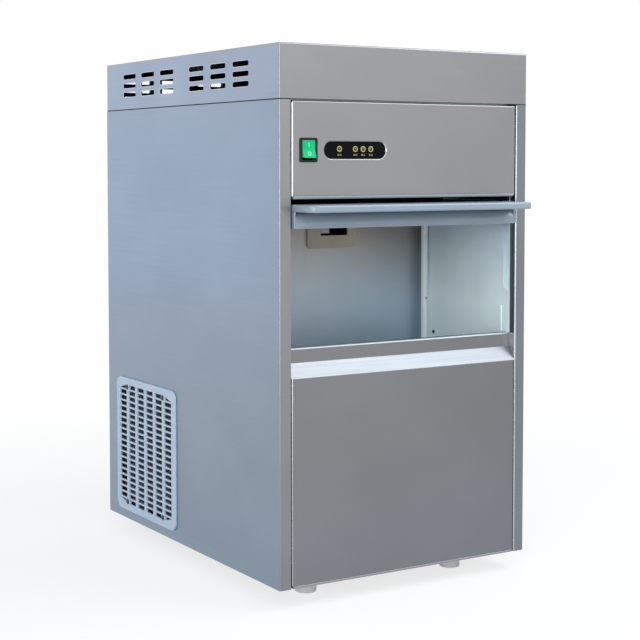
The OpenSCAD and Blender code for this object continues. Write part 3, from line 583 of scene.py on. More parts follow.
class Shape:
    """Mesh of one piece, built from worked solids."""

    def __init__(self) -> None:
        """Starts with an empty mesh."""
        self.bm = bmesh.new()

    def take(self, part: bmesh.types.BMesh, turn: Optional[Matrix] = None) -> None:
        """Adds a finished solid, turned and moved, and frees it.

        Args:
            part: The solid.
            turn: Matrix to apply first.
        """
        bmesh.ops.remove_doubles(part, verts=part.verts, dist=1e-7)
        bmesh.ops.recalc_face_normals(part, faces=part.faces)
        if turn is not None:
            bmesh.ops.transform(part, matrix=turn, verts=part.verts)
        mesh = bpy.data.meshes.new("solid")
        part.to_mesh(mesh)
        part.free()
        self.bm.from_mesh(mesh)
        bpy.data.meshes.remove(mesh)

    def block(self, low: Vector, high: Vector, plan: float = 0.0, rim: float = 0.0,
              along: int = 2, steps: int = 4, turn: Optional[Matrix] = None,
              keep: Optional[Callable[[Vector], bool]] = None) -> None:
        """Adds a block with rounded corners and edges.

        Args:
            low: Lowest corner, in metres.
            high: Highest corner.
            plan: Radius of the corners that run along one axis.
            rim: Radius of the edges around the two end faces.
            along: Number of that axis.
            steps: Facets of each rounding.
            turn: Matrix applied at the end.
            keep: Test that says which corner lines are rounded, by their middle.
        """
        part = bmesh.new()
        bmesh.ops.create_cube(part, size=1.0)
        bmesh.ops.scale(part, vec=high - low, verts=part.verts)
        bmesh.ops.translate(part, vec=(low + high) / 2, verts=part.verts)
        if plan > 0:
            lines = []
            for edge in part.edges:
                run = edge.verts[1].co - edge.verts[0].co
                middle = (edge.verts[1].co + edge.verts[0].co) / 2
                if abs(run[along]) > PARALLEL * run.length and (keep is None or keep(middle)):
                    lines.append(edge)
            self.ease(part, lines, plan, steps + 2)
        if rim > 0:
            part.normal_update()
            caps = [f for f in part.faces if abs(f.normal[along]) > PARALLEL]
            self.ease(part, {e for f in caps for e in f.edges}, rim, steps)
        self.take(part, turn)

    @staticmethod
    def ease(part: bmesh.types.BMesh, edges: Iterable[bmesh.types.BMEdge], width: float,
             steps: int = 3) -> None:
        """Rounds edges of a solid.

        Args:
            part: The solid.
            edges: Its edges to round.
            width: Radius in metres.
            steps: Facets of the rounding.
        """
        bmesh.ops.bevel(part, geom=list(edges), offset=width, offset_type="OFFSET", segments=steps,
                        profile=0.5, affect="EDGES", clamp_overlap=True, material=-1)

    @staticmethod
    def corner_lines(part: bmesh.types.BMesh, x: float, y: float) -> list[bmesh.types.BMEdge]:
        """Finds the four upright edges of a plate at a distance from its middle.

        Args:
            part: The plate.
            x: Distance along x in millimetres.
            y: Distance along y.

        Returns:
            The edges.
        """
        def there(vert: bmesh.types.BMVert) -> bool:
            """Says whether a corner is at that distance."""
            return abs(abs(vert.co.x) - x * MM) < NEAR and abs(abs(vert.co.y) - y * MM) < NEAR

        return [e for e in part.edges if abs((e.verts[0].co - e.verts[1].co).z) > 1e-4
                and all(there(v) for v in e.verts)]

    @staticmethod
    def front_rims(part: bmesh.types.BMesh, level: float) -> list[bmesh.types.BMEdge]:
        """Finds the sharp edges around a plate's front.

        Args:
            part: The plate.
            level: Height of its front in millimetres.

        Returns:
            The edges.
        """
        part.normal_update()
        return [e for e in part.edges if len(e.link_faces) == 2 and e.calc_face_angle(0.0) > SHARP
                and all(v.co.z > level * MM - NEAR for v in e.verts)]

    def lathe(self, profile: Sequence[tuple[float, float]], where: Vector, axis: Axis = Axis.Z,
              steps: int = 48) -> None:
        """Adds a turned solid.

        Args:
            profile: Radius and height pairs in millimetres, from bottom to top.
            where: Foot of its axis, in metres.
            axis: Direction of its axis.
            steps: Facets around.
        """
        part = bmesh.new()
        points = [part.verts.new((r * MM, 0.0, h * MM)) for r, h in profile]
        lines = [part.edges.new(pair) for pair in zip(points, points[1:])]
        bmesh.ops.spin(part, geom=points + lines, cent=(0, 0, 0), axis=(0, 0, 1), dvec=(0, 0, 0),
                       angle=math.tau, steps=steps, use_merge=True, use_duplicate=False)
        bmesh.ops.remove_doubles(part, verts=part.verts, dist=NEAR)
        self.take(part, stand(where, axis))

    def prism(self, outline: Sequence[tuple[float, float]], low: float, high: float, turn: Matrix,
              ease: float = 0.0, steps: int = 2) -> None:
        """Adds an outline drawn in x and y and pulled up along z.

        Args:
            outline: Its corners in millimetres.
            low: Start of the pull.
            high: End of the pull.
            turn: Matrix that takes it to its place.
            ease: Radius of its end edges in metres.
            steps: Facets of the rounding.
        """
        part = bmesh.new()
        part.faces.new([part.verts.new((x * MM, y * MM, low * MM)) for x, y in outline])
        pull(part, (high - low) * MM)
        if ease > 0:
            caps = [f for f in part.faces if abs(f.normal.z) > PARALLEL]
            self.ease(part, {e for f in caps for e in f.edges}, ease, steps)
        self.take(part, turn)

    def ring(self, inner: Outline, outer: Outline, low: float, high: float, turn: Matrix,
             throat: float = 0.0, ease: float = 0.0) -> None:
        """Adds a ring between two outlines with as many points.

        Args:
            inner: Outline of its hole, in millimetres.
            outer: Outline of its outside.
            low: Level of its back.
            high: Level of its front.
            turn: Matrix that takes it to its place.
            throat: Drop of the front towards the hole.
            ease: Radius of its edges in metres.
        """
        part = bmesh.new()
        loops = [[part.verts.new((x * MM, y * MM, z * MM)) for x, y in line]
                 for line, z in ((inner, low), (outer, low), (outer, high), (inner, high - throat))]
        for one, two in zip(loops, loops[1:] + loops[:1]):
            for k in range(len(one)):
                n = (k + 1) % len(one)
                part.faces.new((one[k], one[n], two[n], two[k]))
        bmesh.ops.recalc_face_normals(part, faces=part.faces)
        if ease > 0:
            part.normal_update()
            self.ease(part, [e for e in part.edges if e.calc_face_angle(0.0) > SHARP], ease, 2)
        self.take(part, turn)

    def make(self, name: str, finish: Finish, body: Body, slot: str, replaced: Sequence[str] = (),
             crease: float = 35.0) -> None:
        """Closes the mesh into a piece that rides on a body.

        Args:
            name: Name of the piece.
            finish: Its finish.
            body: Body that carries it.
            slot: Material slot of the record; not used.
            replaced: Frame nodes that it stands for.
            crease: Angle in degrees above which an edge stays sharp.
        """
        mesh = bpy.data.meshes.new(name)
        self.bm.to_mesh(mesh)
        self.bm.free()
        mesh.shade_smooth()
        mesh.set_sharp_from_angle(angle=math.radians(crease))
        mesh.materials.append(Finishes.get(finish))
        piece = bpy.data.objects.new(name, mesh)
        bpy.context.scene.collection.objects.link(piece)
        Dresser.even(piece)
        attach(piece, body.value)
        if replaced:
            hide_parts(*replaced)
        LOG.info("built %s: %d faces", name, len(mesh.polygons))


class Dresser:
    """Gives the frame's own nodes their finish and their eased edges."""

    round_angle: float = 32.0
    flat_angle: float = 0.5
    ease_angle: float = 40.0
    weld: float = 2e-6
    _rounding: Optional[bpy.types.NodeTree] = None

    @staticmethod
    def work(thing: bpy.types.Object, name: str, kind: str, **settings: object) -> None:
        """Adds a modifier.

        Args:
            thing: Object that takes it.
            name: Its name.
            kind: Its type.
            settings: Its properties.
        """
        modifier = thing.modifiers.new(name, kind)
        for key, value in settings.items():
            setattr(modifier, key, value)

    @classmethod
    def rounding(cls) -> bpy.types.NodeTree:
        """Returns the node group that shades round faces smooth."""
        if cls._rounding is None:
            tree = bpy.data.node_groups.new("smooth_round_faces", "GeometryNodeTree")
            tree.interface.new_socket("Geometry", in_out="INPUT", socket_type="NodeSocketGeometry")
            tree.interface.new_socket("Geometry", in_out="OUTPUT", socket_type="NodeSocketGeometry")
            start, end = tree.nodes.new("NodeGroupInput"), tree.nodes.new("NodeGroupOutput")
            angle = tree.nodes.new("GeometryNodeInputMeshEdgeAngle").outputs["Unsigned Angle"]
            limit = {0: angle, 1: math.radians(cls.round_angle)}
            test = add(tree, "FunctionNodeCompare", limit, operation="LESS_THAN")
            faces = add(tree, "GeometryNodeSetShadeSmooth", {"Geometry": start.outputs[0]})
            inputs = {"Geometry": faces.outputs["Geometry"], "Shade Smooth": test.outputs["Result"]}
            edges = add(tree, "GeometryNodeSetShadeSmooth", inputs, domain="EDGE")
            tree.links.new(edges.outputs["Geometry"], end.inputs[0])
            cls._rounding = tree
        return cls._rounding

    @classmethod
    def even(cls, thing: bpy.types.Object) -> None:
        """Keeps large flat faces evenly shaded beside round edges."""
        cls.work(thing, "even", "WEIGHTED_NORMAL", mode="FACE_AREA", weight=100, keep_sharp=True)

    @classmethod
    def dress(cls, node: str, finish: Finish, edge: float = 0.0) -> None:
        """Dresses one node.

        Args:
            node: Name of the node.
            finish: Its finish.
            edge: Width of the eased edges in millimetres.
        """
        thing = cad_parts[node]
        thing.data.materials.clear()
        thing.data.materials.append(Finishes.get(finish))
        cls.work(thing, "weld", "WELD", merge_threshold=cls.weld)
        if edge > 0:
            cls.work(thing, "flat", "DECIMATE", decimate_type="DISSOLVE",
                     angle_limit=math.radians(cls.flat_angle))
            cls.work(thing, "ease", "BEVEL", width=edge * MM, segments=2, limit_method="ANGLE",
                     angle_limit=math.radians(cls.ease_angle))
        cls.work(thing, "smooth", "NODES", node_group=cls.rounding())
        cls.even(thing)
        LOG.info("dressed %s in %s", node, finish.name)

    @classmethod
    def dress_all(cls, *plan: tuple[str, Finish, float]) -> None:
        """Dresses several nodes, each given with its finish and edge width."""
        for node, finish, edge in plan:
            cls.dress(node, finish, edge)


@dataclass
class Casing:
    """Outer sheets of the cabinet and their screws."""

    sheet_edge: float = 0.35
    half: float = 197.5
    depth: float = 530.0
    rail_half: float = 196.2
    seam: tuple[float, float] = (621.9, 623.6)
    panel: tuple[float, float] = (497.0, 621.0)
    slope_low: float = 269.5
    sill_high: float = 306.4
    vent: tuple[float, float] = (43.5, 7.0)
    vent_corner: float = 3.2
    vent_pitch: tuple[float, float] = (63.2, 13.2)
    vent_z: float = 658.25
    vent_middles: tuple[float, float] = (163.5, 382.5)
    rear_vent_x: float = -84.0
    rear_drop: float = 3.0
    rim_w: float = 0.7
    lining_half: float = 192.0
    head_r: float = 4.0
    head_h: float = 1.6

    def dress(self) -> None:
        """Gives the sheets their steel, as lit and shaded copies of one steel by side: painted light
        and shade.
        """
        for node, finish in (("top_cover", Finishes.CASING), ("control_panel", Finishes.CASING),
                             ("base_pan", Finishes.CASING), ("left_side_panel", Finishes.SIDE),
                             ("back_panel", Finishes.SIDE), ("right_side_panel", Finishes.FAR_SIDE),
                             ("lower_front_panel", Finishes.LOWER)):
            Dresser.dress(node, finish, self.sheet_edge)

    def cover_rail(self) -> None:
        """Builds the folded rail behind the seam of the top cover."""
        shape, half = Shape(), self.rail_half
        shape.block(at(-half, 14.0, 590), at(half, 15.2, 646), 0.0, 0.3 * MM, 1, 2)
        shape.block(at(-half, 14.6, 644.8), at(half, 29.0, 646), 0.0, 0.3 * MM, 2, 2)
        shape.make("cover_front_rail", Finishes.ZINC, Body.CABINET, "zinc_steel")

    def seam_painted_shadow(self) -> None:
        """Builds the dark rubber strips in the seam under the top cover, a painted shadow in the gap.
        """
        shape = Shape()
        low, high = self.seam
        for inner, outer in both_sides(196.3, 196.9):
            shape.block(at(inner, 1.0, low), at(outer, self.depth - 1, high), 0.0, 0.1 * MM, 1, 1)
        for inner, outer in both_sides(180.4, 196.8):
            shape.block(at(inner, 0.6, low), at(outer, 1.2, high), 0.0, 0.1 * MM, 0, 1)
        shape.make("cover_seam_painted_shadow", Finishes.RUBBER, Body.CABINET, "rubber")

    def painted_highlight_beads(self) -> None:
        """Builds bright strips on the folded edges of the front panels and posts, painted highlights.
        """
        shape = Shape()
        plan = [(-177.9, 0.25), (-177.9, 2.4), (-178.8, 2.4), (-178.8, 1.15)]
        for side in (1, -1):
            outline = [(side * x, y) for x, y in plan]
            for low, high in ((self.panel[0] + 4, self.panel[1] - 2), (4.0, self.slope_low)):
                shape.prism(outline, low, high, HOME, 0.1 * MM, 1)
            strip = [(side * x, y) for x, y in bend((182.4, 2.4), 2.5, 195, 250)]
            shape.prism(strip, 1.0, self.panel[1], HOME)
        shape.block(at(-177, 0.25, 1.75), at(177, 1.6, 2.9), 0.35 * MM, 0.2 * MM, 0, 1)
        shape.make("panel_painted_highlight_beads", Finishes.EDGE, Body.CABINET, "casing_steel", (), FINE_CREASE)

    def sill_sides(self) -> None:
        """Builds the closed ends of the sill and the bright cheeks beside it, a painted reflection of
        the bright slope.
        """
        top = self.sill_high
        ends = [(12.3, top), (12.3, 288.2), (0.3, 269.7), (1.3, 269.0), (13.8, 287.9), (13.8, top)]
        cheeks = [(2.6, 273.4), (12.2, 288.6), (12.2, top), (2.6, top)]
        for name, finish, outline, spans in (
                ("sill_ends", Finishes.LOWER, ends, both_sides(177.9, 179.9)),
                ("sill_painted_reflection_cheeks", Finishes.BRIGHT, cheeks, both_sides(179.5, 180.0))):
            shape = Shape()
            for low, high in spans:
                shape.prism(outline, low, high, ACROSS)
            shape.make(name, finish, Body.CABINET, "casing_steel", (), FINE_CREASE)

    def painted_bend_highlights(self) -> None:
        """Builds pale strips on the rounded edges of the sill and of the control panel's foot, painted
        highlights.
        """
        shape = Shape()
        shape.prism(bend((14.9, 304.6), 2.5, 100, 165), -177.5, 177.5, ACROSS)
        shape.prism(bend((5.0, 502.0), 5.12, 195, 262), -176.0, 176.0, ACROSS)
        shape.make("panel_painted_highlight_bends", Finishes.PAINTED_BEND_HIGHLIGHT, Body.CABINET, "casing_steel", (), FINE_CREASE)

    def vent_highlight_rims(self) -> None:
        """Builds bright rings round the cover's vents, painted highlights on their cut edges."""
        shape = Shape()
        wide, high = self.vent
        more, corner = 2 * self.rim_w, self.vent_corner
        upright = rounded(high, wide, corner), rounded(high + more, wide + more, corner + self.rim_w)
        level = rounded(wide, high, corner), rounded(wide + more, high + more, corner + self.rim_w)
        for column in (-self.vent_pitch[0], 0.0, self.vent_pitch[0]):
            for row in (-self.vent_pitch[1], 0.0, self.vent_pitch[1]):
                z = self.vent_z + row
                for middle in self.vent_middles:
                    for side, axis in ((-1, Axis.MINUS_X), (1, Axis.X)):
                        place = stand(at(side * self.half, middle + column, z), axis)
                        shape.ring(*upright, -0.6, 0.15, place, 0.3)
                place = stand(at(self.rear_vent_x + column, self.depth, z - self.rear_drop), Axis.Y)
                shape.ring(*level, -0.6, 0.15, place, 0.3)
        shape.make("vent_painted_highlight_rims", Finishes.BRIGHT, Body.CABINET, "casing_steel")

    def painted_shade_lining(self) -> None:
        """Builds the dark rubber sheet under the cover's top and round the rear vents, painted shade
        seen through the seam and vents.
        """
        wide, high = self.vent
        half, behind = self.lining_half, self.depth - 1.3
        across, up = [-half], [627.0]
        for step in (-1, 0, 1):
            x = self.rear_vent_x + self.vent_pitch[0] * step
            z = self.vent_z - self.rear_drop + self.vent_pitch[1] * step
            across += [x - wide / 2, x + wide / 2]
            up += [z - high / 2, z + high / 2]
        part = pierced(across + [half], up + [686.0])
        pull(part, 4.0 * MM)
        shape = Shape()
        shape.take(part, stand(at(0, behind, 0), Axis.MINUS_Y))
        shape.block(at(-half, 6, 686.5), at(half, behind, 691.7), 3 * MM, 1.0 * MM, 2, 2)
        shape.make("cover_painted_shade_lining", Finishes.RUBBER, Body.CABINET, "rubber")

    def screws(self) -> None:
        """Builds the cross-head screws of the grille and the back."""
        shape = Shape()
        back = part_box("panel_screws")[1].y - self.head_h * MM
        low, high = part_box("side_grille")
        middle = (low + high) / 2
        for dy in (-61.2, 61.2):
            for dz in (-88.0, 88.0):
                seat = Vector((low.x, middle.y + dy * MM, middle.z + dz * MM))
                self.head(shape, seat, Axis.MINUS_X)
        for side in (-1, 1):
            for x, z in ((182.3, 30.0), (182.3, 311.75), (182.3, 593.5), (120.0, 637.5)):
                self.head(shape, Vector((side * x * MM, back, z * MM + BASE_LEVEL)), Axis.Y)
        shape.make("cross_head_screws", Finishes.SCREW, Body.CABINET, "screw_steel", ["panel_screws"])

    def head(self, shape: Shape, where: Vector, axis: Axis) -> None:
        """Adds one domed head with a cross recess.

        Args:
            shape: Shape that takes it.
            where: Middle of its seat.
            axis: Direction that it faces.
        """
        r, h = self.head_r, self.head_h
        shape.lathe([(0, 0), (r, 0), (r, 0.35), (0.86 * r, 0.7 * h), (0.6 * r, 0.95 * h),
                     (0.34 * r, 0.98 * h), (0.3 * r, 0.45 * h), (0, 0.4 * h)], where, axis, 20)
        low = Vector((-0.62 * r, -0.09 * r, 0.5 * h)) * MM
        high = Vector((0.62 * r, 0.09 * r, 0.99 * h)) * MM
        for turn in (20.0, 110.0):
            spin = Matrix.Rotation(math.radians(turn), 4, "Z")
            shape.block(low, high, turn=stand(where, axis) @ spin)

    def build(self) -> None:
        """Builds the casing."""
        self.dress()
        self.cover_rail()
        self.seam_painted_shadow()
        self.painted_highlight_beads()
        self.sill_sides()
        self.painted_bend_highlights()
        self.vent_highlight_rims()
        self.painted_shade_lining()
        self.screws()


@dataclass
class SideGrille:
    """Plastic air grille in the left side, with its moulded bars."""

    columns: int = 6
    rows: int = 21
    hole: tuple[float, float] = (24.0, 6.2)
    pitch: tuple[float, float] = (30.6, 8.8)
    corner: float = 13.0
    hole_corner: float = 4.5
    rim: float = 0.75
    boss_r: float = 6.5

    def lines(self, size: float, count: int, hole: float, pitch: float) -> list[float]:
        """Gives the grid lines across one direction.

        Args:
            size: Outside size.
            count: Number of holes.
            hole: Size of a hole.
            pitch: Pitch of the holes.

        Returns:
            Positions from the middle, in millimetres.
        """
        edges = [-size / 2]
        for k in range(count):
            middle = (k - (count - 1) / 2) * pitch
            edges += [middle - hole / 2, middle + hole / 2]
        return edges + [size / 2]

    def clear_border(self, part: bmesh.types.BMesh, across: Sequence[float],
                     up: Sequence[float]) -> None:
        """Takes the grid lines out of the border, apart from those at its middle.

        Args:
            part: The flat grille.
            across: Grid lines along the width.
            up: Grid lines along the height.
        """
        kept = {across[len(across) // 2 - 1], across[len(across) // 2]}
        kept_up = {up[len(up) // 2 - 1], up[len(up) // 2]}
        cut = []
        for edge in part.edges:
            one, two = (v.co / MM for v in edge.verts)
            upright = abs(one.x - two.x) < 1e-3
            ends = (one.y, two.y) if upright else (one.x, two.x)
            rim, side = (up[-1], across[-1]) if upright else (across[-1], up[-1])
            line = one.x if upright else one.y
            leads_out = abs(max(abs(ends[0]), abs(ends[1])) - rim) < 1e-3
            if leads_out and abs(abs(line) - side) > 1e-3:
                if not any(abs(line - k) < 1e-3 for k in (kept if upright else kept_up)):
                    cut.append(edge)
        bmesh.ops.dissolve_edges(part, edges=cut, use_verts=True)

    def plate(self, size: Vector) -> bmesh.types.BMesh:
        """Makes the pierced plate with its rounded corners and eased bars.

        Args:
            size: Thickness, width and height in millimetres.

        Returns:
            The plate, lying on its back.
        """
        across = self.lines(size.y, self.columns, self.hole[0], self.pitch[0])
        up = self.lines(size.z, self.rows, self.hole[1], self.pitch[1])
        part = pierced(across, up)
        self.clear_border(part, across, up)
        pull(part, size.x * MM)
        Shape.ease(part, Shape.corner_lines(part, across[-1], up[-1]), self.corner * MM, 8)
        Shape.ease(part, Shape.corner_lines(part, across[-2], up[-2]), self.hole_corner * MM, 4)
        Shape.ease(part, Shape.front_rims(part, size.x), self.rim * MM, 2)
        return part

    def build(self) -> None:
        """Builds the grille in place of its node."""
        low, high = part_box("side_grille")
        size = (high - low) / MM
        shape = Shape()
        turn = Matrix(((0, 0, -1, 0), (-1, 0, 0, 0), (0, 1, 0, 0), (0, 0, 0, 1)))
        middle = Vector((high.x, (low.y + high.y) / 2, (low.z + high.z) / 2))
        shape.take(self.plate(size), Matrix.Translation(middle) @ turn)
        r, front = self.boss_r, size.x - 0.05
        boss = [(0, 0.2), (r, 0.2), (r, front - 0.35), (r - 0.5, front), (0, front)]
        for dy in (-2, 2):
            for dz in (-10, 10):
                seat = middle + Vector((0, dy * self.pitch[0], dz * self.pitch[1])) * MM
                shape.lathe(boss, seat, Axis.MINUS_X, 28)
        shape.make("side_grille_moulded", Finishes.GRILLE, Body.CABINET, "grille_plastic",
                   ["side_grille"], 28.0)


@dataclass
class ControlPanel:
    """Rocker switch, display window and its printed lamps."""

    switch_x: float = -155.0
    display_x: float = -84.0
    control_z: float = 559.0
    rocker_axis: float = 5.0
    rocker_tip: float = 9.0
    frame_h: float = 2.0
    window: tuple[float, float] = (95.6, 23.6)
    lamps: tuple[float, ...] = (-24.2, 0.0, 11.9, 23.8)

    def frame_of_switch(self) -> None:
        """Builds the switch's black frame and body."""
        shape = Shape()
        x, z = self.switch_x, self.control_z
        across, up = (-12.75, -9.7, 9.7, 12.75), (-15.5, -12.9, 12.9, 15.5)
        part = pierced(across, up)
        pull(part, self.frame_h * MM)
        Shape.ease(part, Shape.corner_lines(part, across[-1], up[-1]), 2.0 * MM, 5)
        Shape.ease(part, Shape.front_rims(part, self.frame_h), 0.6 * MM, 3)
        shape.take(part, stand(at(x, 0, z), Axis.MINUS_Y))
        for low, high in (((-11, -14), (11, -12.9)), ((-11, 12.9), (11, 14)),
                          ((-11, -13), (-9.7, 13)), ((9.7, -13), (11, 13))):
            shape.block(at(x + low[0], 0.6, z + low[1]), at(x + high[0], 15, z + high[1]))
        shape.block(at(x - 11, 14.8, z - 14), at(x + 11, 26, z + 14), 1.0 * MM, 0.5 * MM, 1, 2)
        for dx in (-6.0, 6.0):
            for dz in (-7.0, 7.0):
                shape.block(at(x + dx - 2.2, 25.8, z + dz - 0.4), at(x + dx + 2.2, 26, z + dz + 0.4))
        shape.make("switch_frame", Finishes.BLACK, Body.CABINET, "black_plastic", ["switch_body"])

    def rocker(self) -> None:
        """Builds the green rocker and its on and off marks."""
        home = Matrix.Translation(at(self.switch_x, self.rocker_axis, self.control_z))
        tip = Matrix.Rotation(math.radians(-self.rocker_tip), 4, "X")
        outline = [(-8.2, 11.2), (-7.4, 6.2), (-6.75, 2.6), (-6.4, 0), (-6.75, -2.6), (-7.4, -6.2),
                   (-8.2, -11.2), (2, -9), (4.5, 0), (2, 9)]
        shape = Shape()
        shape.prism(outline, -9.3, 9.3, home @ tip @ LAY_ACROSS, 0.7 * MM, 3)
        shape.lathe([(0, -10.6), (1.5, -10.6), (1.5, 10.6), (0, 10.6)],
                    at(self.switch_x, self.rocker_axis, self.control_z), Axis.X, 20)
        shape.make("green_rocker", Finishes.ROCKER, Body.ROCKER, "rocker_green", ["switch_rocker"],
                   24.0)
        marks = Shape()
        upper, lower = (home @ tip @ Matrix.Translation(Vector((0, -7.28, side * 5.8)) * MM)
                        @ Matrix.Rotation(math.radians(side * 9), 4, "X") for side in (1, -1))
        marks.block(Vector((-0.5, -0.14, -2.4)) * MM, Vector((0.5, 0.2, 2.4)) * MM, turn=upper)
        ring = [(1.7, -0.2), (2.5, -0.2), (2.5, 0.14), (1.7, 0.14), (1.7, -0.2)]
        part = Shape()
        part.lathe(ring, Vector(), Axis.MINUS_Y, 32)
        marks.take(part.bm, lower)
        marks.make("rocker_marks", Finishes.MARK, Body.ROCKER, "white_plastic")

    def window_lens(self) -> None:
        """Builds the round-ended display window with its carrier."""
        shape = Shape()
        self.pill(shape, self.window[0], self.window[1], 0.8, 3.9, 0.5)
        self.pill(shape, self.window[0] + 8.4, self.window[1] + 8.4, 1.3, 4.0, 0.3)
        x, z = self.display_x, self.control_z
        shape.block(at(x - 30, 3.9, z - 8), at(x + 30, 26, z + 8), 1.0 * MM, 0.4 * MM, 1, 2)
        shape.make("display_lens", Finishes.DISPLAY, Body.CABINET, "display_black", ["display_window"])

    def pill(self, shape: Shape, width: float, height: float, front: float, back: float,
             ease: float) -> None:
        """Adds a round-ended plate.

        Args:
            shape: Shape that takes it.
            width: Its width.
            height: Its height.
            front: Depth of its front face.
            back: Depth of its back face.
            ease: Radius of its edge.
        """
        part = bmesh.new()
        bmesh.ops.create_circle(part, cap_ends=True, segments=64, radius=height / 2 * MM)
        for vert in part.verts:
            if abs(vert.co.x) > NEAR:
                vert.co.x += math.copysign((width - height) / 2 * MM, vert.co.x)
        pull(part, (back - front) * MM)
        caps = [f for f in part.faces if f.normal.z > PARALLEL]
        Shape.ease(part, {e for f in caps for e in f.edges}, ease * MM, 3)
        shape.take(part, stand(at(self.display_x, back, self.control_z), Axis.MINUS_Y))

    def window_highlight_rim(self) -> None:
        """Builds a bright ring round the display window, a painted highlight on its pressed edge."""
        shape = Shape()
        wide, high = self.window
        inner = rounded(wide - 0.8, high - 0.8, high / 2 - 0.4, 16)
        outer = rounded(wide + 1.2, high + 1.2, high / 2 + 0.6, 16)
        place = stand(at(self.display_x, 0, self.control_z), Axis.MINUS_Y)
        shape.ring(inner, outer, -0.9, 0.12, place, 0.9)
        shape.make("display_painted_highlight_rim", Finishes.BRIGHT, Body.CABINET, "casing_steel", (), 20.0)

    def lamp_print(self) -> None:
        """Builds the four ringed lamps and the bars under them."""
        shape = Shape()
        ring = [(2.5, 0), (3.7, 0), (3.7, 0.26), (2.5, 0.26), (2.5, 0)]
        dot = [(0, 0), (0.7, 0), (0.7, 0.26), (0, 0.26)]
        for lamp in self.lamps:
            x, z = self.display_x + lamp, self.control_z
            shape.lathe(ring, at(x, 0.8, z + 1.6), Axis.MINUS_Y, 36)
            shape.lathe(dot, at(x, 0.8, z + 1.9), Axis.MINUS_Y, 16)
            for dx in (-1.6, 1.6):
                for k in range(3):
                    low = z - 7.0 + 0.85 * k
                    shape.block(at(x + dx - 1.2, 0.56, low), at(x + dx + 1.2, 0.82, low + 0.32))
        shape.make("lamp_rings", Finishes.PRINT, Body.CABINET, "lamp_print", ["indicator_lamps"])

    def dress(self) -> None:
        """Finishes the board behind the panel."""
        Dresser.dress("control_board", Finishes.BOARD)

    def build(self) -> None:
        """Builds all controls."""
        self.frame_of_switch()
        self.rocker()
        self.window_lens()
        self.window_highlight_rim()
        self.lamp_print()
        self.dress()


@dataclass
class Door:
    """Bin door with its grip lip, liner, pins and link arms."""

    half: float = 174.5
    lip_half: float = 177.0
    nose_half: float = 177.2
    front: float = -2.5
    back: float = 137.5
    reach: float = -45.0
    top: float = 490.1
    skin: float = 463.0
    lip_under: float = 480.5
    hollow: float = 14.0
    liner_under: float = 459.6
    skirt_in: float = 0.8
    step: float = 0.03

    def shell(self) -> None:
        """Builds the moulded shell with its rounded lip."""
        shape = Shape()
        shape.block(at(-self.lip_half, self.reach, self.lip_under),
                    at(self.lip_half, self.front + 4, self.top),
                    12 * MM, 2.8 * MM, 2, 5, keep=lambda m: m.y < FRONT_FACE - 0.03)
        shape.block(at(-self.half, self.front + self.hollow + 1, self.skin),
                    at(self.half, self.back, self.top - self.step),
                    3 * MM, 1.2 * MM, 2, 3, keep=lambda m: m.y > FRONT_FACE + 0.1)
        self.nose(shape)
        start = self.front + self.skirt_in
        wide, long = 2 * self.half, self.back - start
        middle = Matrix.Translation(at(0, (start + self.back) / 2, 0))
        shape.ring(rounded(wide - 1.8, long - 1.8, 2.4), rounded(wide, long, 3.0),
                   self.liner_under + 0.3, self.skin + 1.5, middle)
        shape.make("door_shell_moulded", Finishes.DOOR, Body.DOOR, "door_plastic", ["door_shell"],
                   FINE_CREASE)

    def nose(self, shape: Shape) -> None:
        """Adds the front of the shell, with the finger hollow under the lip.

        Args:
            shape: Shape that takes it.
        """
        wide, low = self.nose_half, self.liner_under + 0.2
        deep, roof = self.front + self.hollow + 3, self.lip_under + 1
        shape.block(at(-wide, self.front, self.lip_under), at(wide, deep, self.top - self.step))
        foot = self.skin + 2.0
        outline = [(deep, low), (self.front + 0.5, low), (self.front, low + 0.6)]
        for k in range(13):
            turn = math.radians(90 * k / 12)
            outline.append((self.front + self.hollow * (1 - math.cos(turn)),
                            foot + (self.lip_under - foot) * math.sin(turn)))
        outline += [(self.front + self.hollow, roof), (deep, roof)]
        shape.prism(outline, 2 - wide, wide - 2, ACROSS)
        for inner, outer in both_sides(wide - 2.4, wide):
            shape.block(at(inner, self.front, low), at(outer, deep, roof), 1.0 * MM, 0.4 * MM, 2, 2)

    def liner(self) -> None:
        """Builds the white inner liner with its raised border."""
        shape = Shape()
        shape.block(at(-self.half + 1, self.front + 1, self.liner_under + 1.6),
                    at(self.half - 1, self.back - 1, self.skin), 4 * MM, 0.3 * MM, 2, 3)
        middle = Matrix.Translation(at(0, (self.front + self.back) / 2, 0))
        wide, long = 2 * self.half - 2, self.back - self.front - 2
        shape.ring(rounded(wide - 28, long - 28, 8.0), rounded(wide, long, 4.0), self.liner_under,
                   self.liner_under + 2.0, middle, 0.0, 0.6 * MM)
        shape.make("door_liner_moulded", Finishes.LINER, Body.DOOR, "door_white", ["door_liner"],
                   FINE_CREASE)

    def dress(self) -> None:
        """Finishes the pins and the link arms."""
        for node in ("door_pins", "left_link_arm", "right_link_arm"):
            Dresser.dress(node, Finishes.ARM, 0.4)

    def build(self) -> None:
        """Builds the door."""
        self.shell()
        self.liner()
        self.dress()


